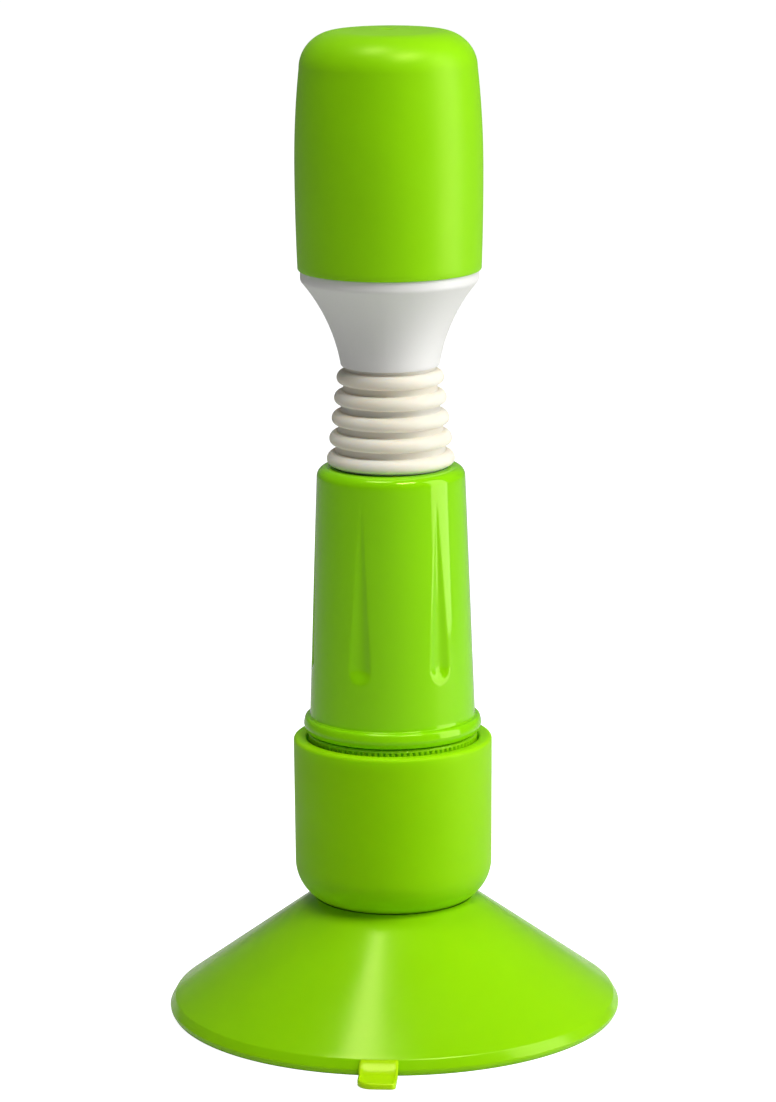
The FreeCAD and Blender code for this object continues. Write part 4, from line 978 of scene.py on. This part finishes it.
flare_top = Vector((RING_RADIUS - 0.2, RING_LOW - 0.1))
outer_flare = flare(Vector((FOOT_RADIUS, FUNNEL_LOW + 0.35)), flare_top, FLARE)
inner_foot = Vector((FOOT_RADIUS - FUNNEL_WALL, FUNNEL_LOW + FUNNEL_WALL))
inner_flare = flare(inner_foot, Vector((RING_RADIUS - FUNNEL_WALL, RING_LOW)), FLARE)
funnel_points = [
    Vector((FUNNEL_HOLE, FUNNEL_LOW)),
    Vector((FOOT_RADIUS - 0.35, FUNNEL_LOW)),
    Vector((FOOT_RADIUS - 0.12, FUNNEL_LOW + 0.1)),
]
funnel_points += outer_flare
funnel_points += [
    Vector((RING_RADIUS - 0.04, RING_LOW + 0.25)),
    Vector((RING_RADIUS, RING_LOW + 0.6)),
    Vector((RING_RADIUS, FUNNEL_TOP - 0.15)),
    Vector((RING_RADIUS - 0.15, FUNNEL_TOP)),
    Vector((RING_RADIUS - FUNNEL_WALL, FUNNEL_TOP)),
]
funnel_points += list(reversed(inner_flare))
funnel_points += [Vector((FUNNEL_HOLE, FUNNEL_LOW + FUNNEL_WALL))]
funnel = lathe("head_funnel_white", divided(funnel_points, 0.8), around=192)
finish_piece(funnel, FUNNEL_WHITE, "head", "funnel_plastic", "head_funnel")

# %% [markdown]
# ## The head cover
#
# The cover is soft rubber pulled over a rigid shell. It swells a little in the
# middle, has a large soft shoulder and a nearly flat top with the small dimple
# that the mould's inlet leaves. The swelling is one long arc, so the section
# is drawn as rows of that arc up to the shoulder.

# %% Turn the head cover

COVER_SWELL = 0.42
COVER_FOOT = COVER_RADIUS - 0.64
SWELL_MIDDLE = 0.43
TOP_FALL = 2.9
COVER_SHOULDER = 8.0
COVER_INNER = 16.7
COVER_WALL = 2.0
INNER_SHOULDER = 5.5
TOP_DOME = 0.25
DIMPLE_DEEP = 0.35
DIMPLE_RADIUS = 1.3


def cover_side(share):
    """Radius of the cover's side at a share of its height."""
    away = (share - SWELL_MIDDLE) / SWELL_MIDDLE
    fall = COVER_SWELL * away * away * (TOP_FALL if share > SWELL_MIDDLE else 1.0)
    return COVER_FOOT + COVER_SWELL - fall


def cover_outline(rows=40, shoulder_steps=30, top_steps=12):
    """Outside points of the cover from its foot to the middle of its top."""
    height = COVER_TOP - COVER_LOW
    side_top = COVER_TOP - COVER_SHOULDER
    side_low = COVER_LOW + 0.35
    points = []
    for row in range(rows + 1):
        level = side_low + (side_top - side_low) * row / rows
        points.append(Vector((cover_side((level - COVER_LOW) / height), level)))
    flat = points[-1].x - COVER_SHOULDER
    for step in range(1, shoulder_steps + 1):
        angle = math.pi / 2 * step / shoulder_steps
        reach = COVER_SHOULDER * math.cos(angle)
        lift = (COVER_SHOULDER - TOP_DOME) * math.sin(angle)
        points.append(Vector((flat + reach, side_top + lift)))
    for step in range(1, top_steps + 1):
        share = step / top_steps
        reach = flat * (1 - share)
        dimple = DIMPLE_DEEP * max(0, 1 - reach / DIMPLE_RADIUS) ** 0.5
        dome = TOP_DOME * ease(share, 0, 0.8)
        points.append(Vector((reach, COVER_TOP - TOP_DOME + dome - dimple)))
    return points


def inner_shoulder():
    """Inside points of the cover from its flat ceiling down to its bore."""
    corner = Vector((COVER_INNER - INNER_SHOULDER, COVER_TOP - COVER_WALL - INNER_SHOULDER))
    angles = [math.radians(degrees) for degrees in range(0, 91, 15)]
    return [corner + Vector((math.sin(a), math.cos(a))) * INNER_SHOULDER for a in angles]


cover_points = [
    Vector((COVER_INNER, COVER_LOW)),
    Vector((COVER_FOOT - 0.35, COVER_LOW)),
    Vector((COVER_FOOT - 0.1, COVER_LOW + 0.1)),
]
cover_points += cover_outline()
cover_points += [Vector((0, COVER_TOP - COVER_WALL))]
cover_points += inner_shoulder()
cover = lathe("head_cover_satin", divided(cover_points, 1.5), around=224)
finish_piece(cover, HEAD_RUBBER, "head", "cover_rubber", "head_cover")

# %% [markdown]
# ## What stays as CAD
#
# The knurled cap and everything inside keep their CAD shapes. Each one gets a
# finish for what it is made of. The cells have a plain dark sleeve with one
# coloured band, which marks their positive end.

# %% Finish the CAD pieces

INNER_WHITE = white_moulding("inner_white", 0.5)
CAP_PLASTIC = polished_hard_plastic("cap_plastic", LIME)
NYLON = plain_moulding("nylon", (0.72, 0.71, 0.66), 0.4)
BRASS = drawn_metal("brass", (0.78, 0.56, 0.22), 0.28)
STEEL = drawn_metal("steel", (0.60, 0.60, 0.61), 0.26)
DARK_STEEL = drawn_metal("rotor_steel", (0.36, 0.33, 0.30), 0.38)
SINTERED = drawn_metal("sintered_weight", (0.50, 0.48, 0.45), 0.5)
FERRITE = plain_moulding("ferrite", (0.03, 0.03, 0.032), 0.55)
BLACK_PLASTIC = plain_moulding("black_plastic", (0.015, 0.015, 0.017), 0.4)
SEAL = plain_moulding("seal_rubber", (0.01, 0.01, 0.01), 0.5)
cell_low, cell_high, _ = span("battery_left")
SLEEVE_UP = cell_sleeve("cell_sleeve_up", cell_low, cell_high)
SLEEVE_DOWN = cell_sleeve("cell_sleeve_down", cell_high, cell_low)

FINISHES = {
    "twist_cap": CAP_PLASTIC,
    "floor_washer": NYLON,
    "hub_rivet": NYLON,
    "cap_contact": BRASS,
    "battery_left": SLEEVE_UP,
    "battery_right": SLEEVE_DOWN,
    "seal_ring": SEAL,
    "contact_carrier": INNER_WHITE,
    "plus_contact": BRASS,
    "minus_spring": STEEL,
    "neck_clamp_lower": INNER_WHITE,
    "neck_clamp_upper": INNER_WHITE,
    "head_housing": INNER_WHITE,
    "motor_can": STEEL,
    "motor_end_bell": BLACK_PLASTIC,
    "motor_terminals": BRASS,
    "motor_magnets": FERRITE,
    "motor_cradle": INNER_WHITE,
    "cradle_screws": STEEL,
    "motor_armature": DARK_STEEL,
    "motor_shaft": STEEL,
    "eccentric_weight": SINTERED,
}
for node, finish in FINISHES.items():
    piece = frame["nodes"][node]
    if not piece.material_slots:
        piece.data.materials.append(finish)
    piece.material_slots[0].material = finish
print("finished", len(FINISHES), "CAD pieces")

# %% [markdown]
# ## The floor
#
# A wide pale floor takes the object's soft shadow. Seen directly it glows just
# enough to run into the white behind it, but it hardly lights the object from
# below. A light path node tells the two apart: is this ray the eye's own?

# %% Lay the floor


def lay_floor(reach=14.0):
    """A square floor that looks white and gives off little light."""
    corners = [(-reach, -reach, 0), (reach, -reach, 0), (reach, reach, 0), (-reach, reach, 0)]
    mesh = bpy.data.meshes.new("floor")
    mesh.from_pydata(corners, [], [(0, 1, 2, 3)])
    floor = bpy.data.objects.new("floor", mesh)
    bpy.context.scene.collection.objects.link(floor)
    finish, tree, shader = new_finish("floor_white", (0.6, 0.6, 0.6), 0.7)
    shader.inputs["Specular IOR Level"].default_value = 0.1
    shader.inputs["Emission Color"].default_value = (1, 1, 1, 1)
    path = tree.nodes.new("ShaderNodeLightPath")
    spread = tree.nodes.new("ShaderNodeMapRange")
    spread.inputs["To Min"].default_value = 0.06
    spread.inputs["To Max"].default_value = 0.93
    tree.links.new(path.outputs["Is Camera Ray"], spread.inputs["Value"])
    tree.links.new(spread.outputs["Result"], shader.inputs["Emission Strength"])
    mesh.materials.append(finish)
    print(f"floor {2 * reach:.0f} m wide")


lay_floor()

# %% [markdown]
# ## The lights
#
# A tall soft box stands close on the right and draws the long streak on the
# handle. One hangs high in front and one almost overhead, for the shoulders and
# the disc. The surroundings are dim as a light, and a little brighter behind
# the object so that its rims stay clear of the background.

# %% Hang the lights


def hang_light(name, azimuth, elevation, distance, width, height, power, aim=0.10):
    """A soft box that faces the axis at height aim; azimuth 0 is in front."""
    middle = Vector((0, 0, aim))
    turn = math.radians(azimuth)
    rise = math.radians(elevation)
    level = math.cos(rise)
    back = Vector((math.sin(turn) * level, -math.cos(turn) * level, math.sin(rise)))
    light = bpy.data.lights.new(name, "AREA")
    light.shape = "RECTANGLE"
    light.size = width
    light.size_y = height
    light.energy = power
    lamp = bpy.data.objects.new(name, light)
    lamp.location = middle + back * distance
    lamp.rotation_euler = back.to_track_quat("Z", "Y").to_euler()
    bpy.context.scene.collection.objects.link(lamp)
    print(f"{name}: {width} by {height} m, {power} W")


def pale_surroundings(front, behind):
    """White to the eye; as a light, dim in front and bright behind the object."""
    world = bpy.data.worlds.new("pale_room")
    world.use_nodes = True
    tree = world.node_tree
    light = tree.nodes["Background"]
    white = tree.nodes.new("ShaderNodeBackground")
    mix = tree.nodes.new("ShaderNodeMixShader")
    path = tree.nodes.new("ShaderNodeLightPath")
    place = tree.nodes.new("ShaderNodeTexCoord")
    split = tree.nodes.new("ShaderNodeSeparateXYZ")
    spread = tree.nodes.new("ShaderNodeMapRange")
    spread.interpolation_type = "SMOOTHSTEP"
    spread.inputs["From Min"].default_value = 0.8
    spread.inputs["From Max"].default_value = 0.98
    spread.inputs["To Min"].default_value = front
    spread.inputs["To Max"].default_value = behind
    tree.links.new(place.outputs["Generated"], split.inputs["Vector"])
    tree.links.new(split.outputs["Y"], spread.inputs["Value"])
    tree.links.new(spread.outputs["Result"], light.inputs["Strength"])
    tree.links.new(path.outputs["Is Camera Ray"], mix.inputs["Fac"])
    tree.links.new(light.outputs["Background"], mix.inputs[1])
    tree.links.new(white.outputs["Background"], mix.inputs[2])
    tree.links.new(mix.outputs["Shader"], tree.nodes["World Output"].inputs["Surface"])
    light.inputs["Color"].default_value = (1, 1, 1, 1)
    white.inputs["Color"].default_value = (1, 1, 1, 1)
    bpy.context.scene.world = world


pale_surroundings(front=0.10, behind=0.20)
hang_light("right_box", 79, 0, distance=0.45, width=0.26, height=0.62, power=1.95, aim=0.315)
hang_light("front_box", 35, 58, distance=1.4, width=0.55, height=0.3, power=10.5)
hang_light("left_box", -50, 76, distance=1.5, width=0.5, height=0.5, power=7.2)

# %% [markdown]
# ## The camera
#
# A long lens from a metre away, looking down by twelve degrees, keeps the
# round ends flat and the sides nearly parallel.

# %% Place the camera

CAMERA_DISTANCE = 0.9224
CAMERA_HEIGHT = 0.2983
CAMERA_PITCH = 12.08
CAMERA_ROLL = -0.4
CAMERA_SIDE = -0.00074
FOCAL_LENGTH = 144.7

lens = bpy.data.cameras.new("camera")
lens.lens = FOCAL_LENGTH
lens.sensor_width = 36
camera = bpy.data.objects.new("camera", lens)
camera.location = (CAMERA_SIDE, -CAMERA_DISTANCE, CAMERA_HEIGHT)
tilt = Matrix.Rotation(math.radians(90 - CAMERA_PITCH), 3, "X")
roll = Matrix.Rotation(math.radians(CAMERA_ROLL), 3, "Z")
camera.rotation_euler = (tilt @ roll).to_euler()
bpy.context.scene.collection.objects.link(camera)
bpy.context.scene.camera = camera
bpy.context.scene.view_settings.view_transform = "Standard"
print("camera", [round(value, 3) for value in camera.location], "m")
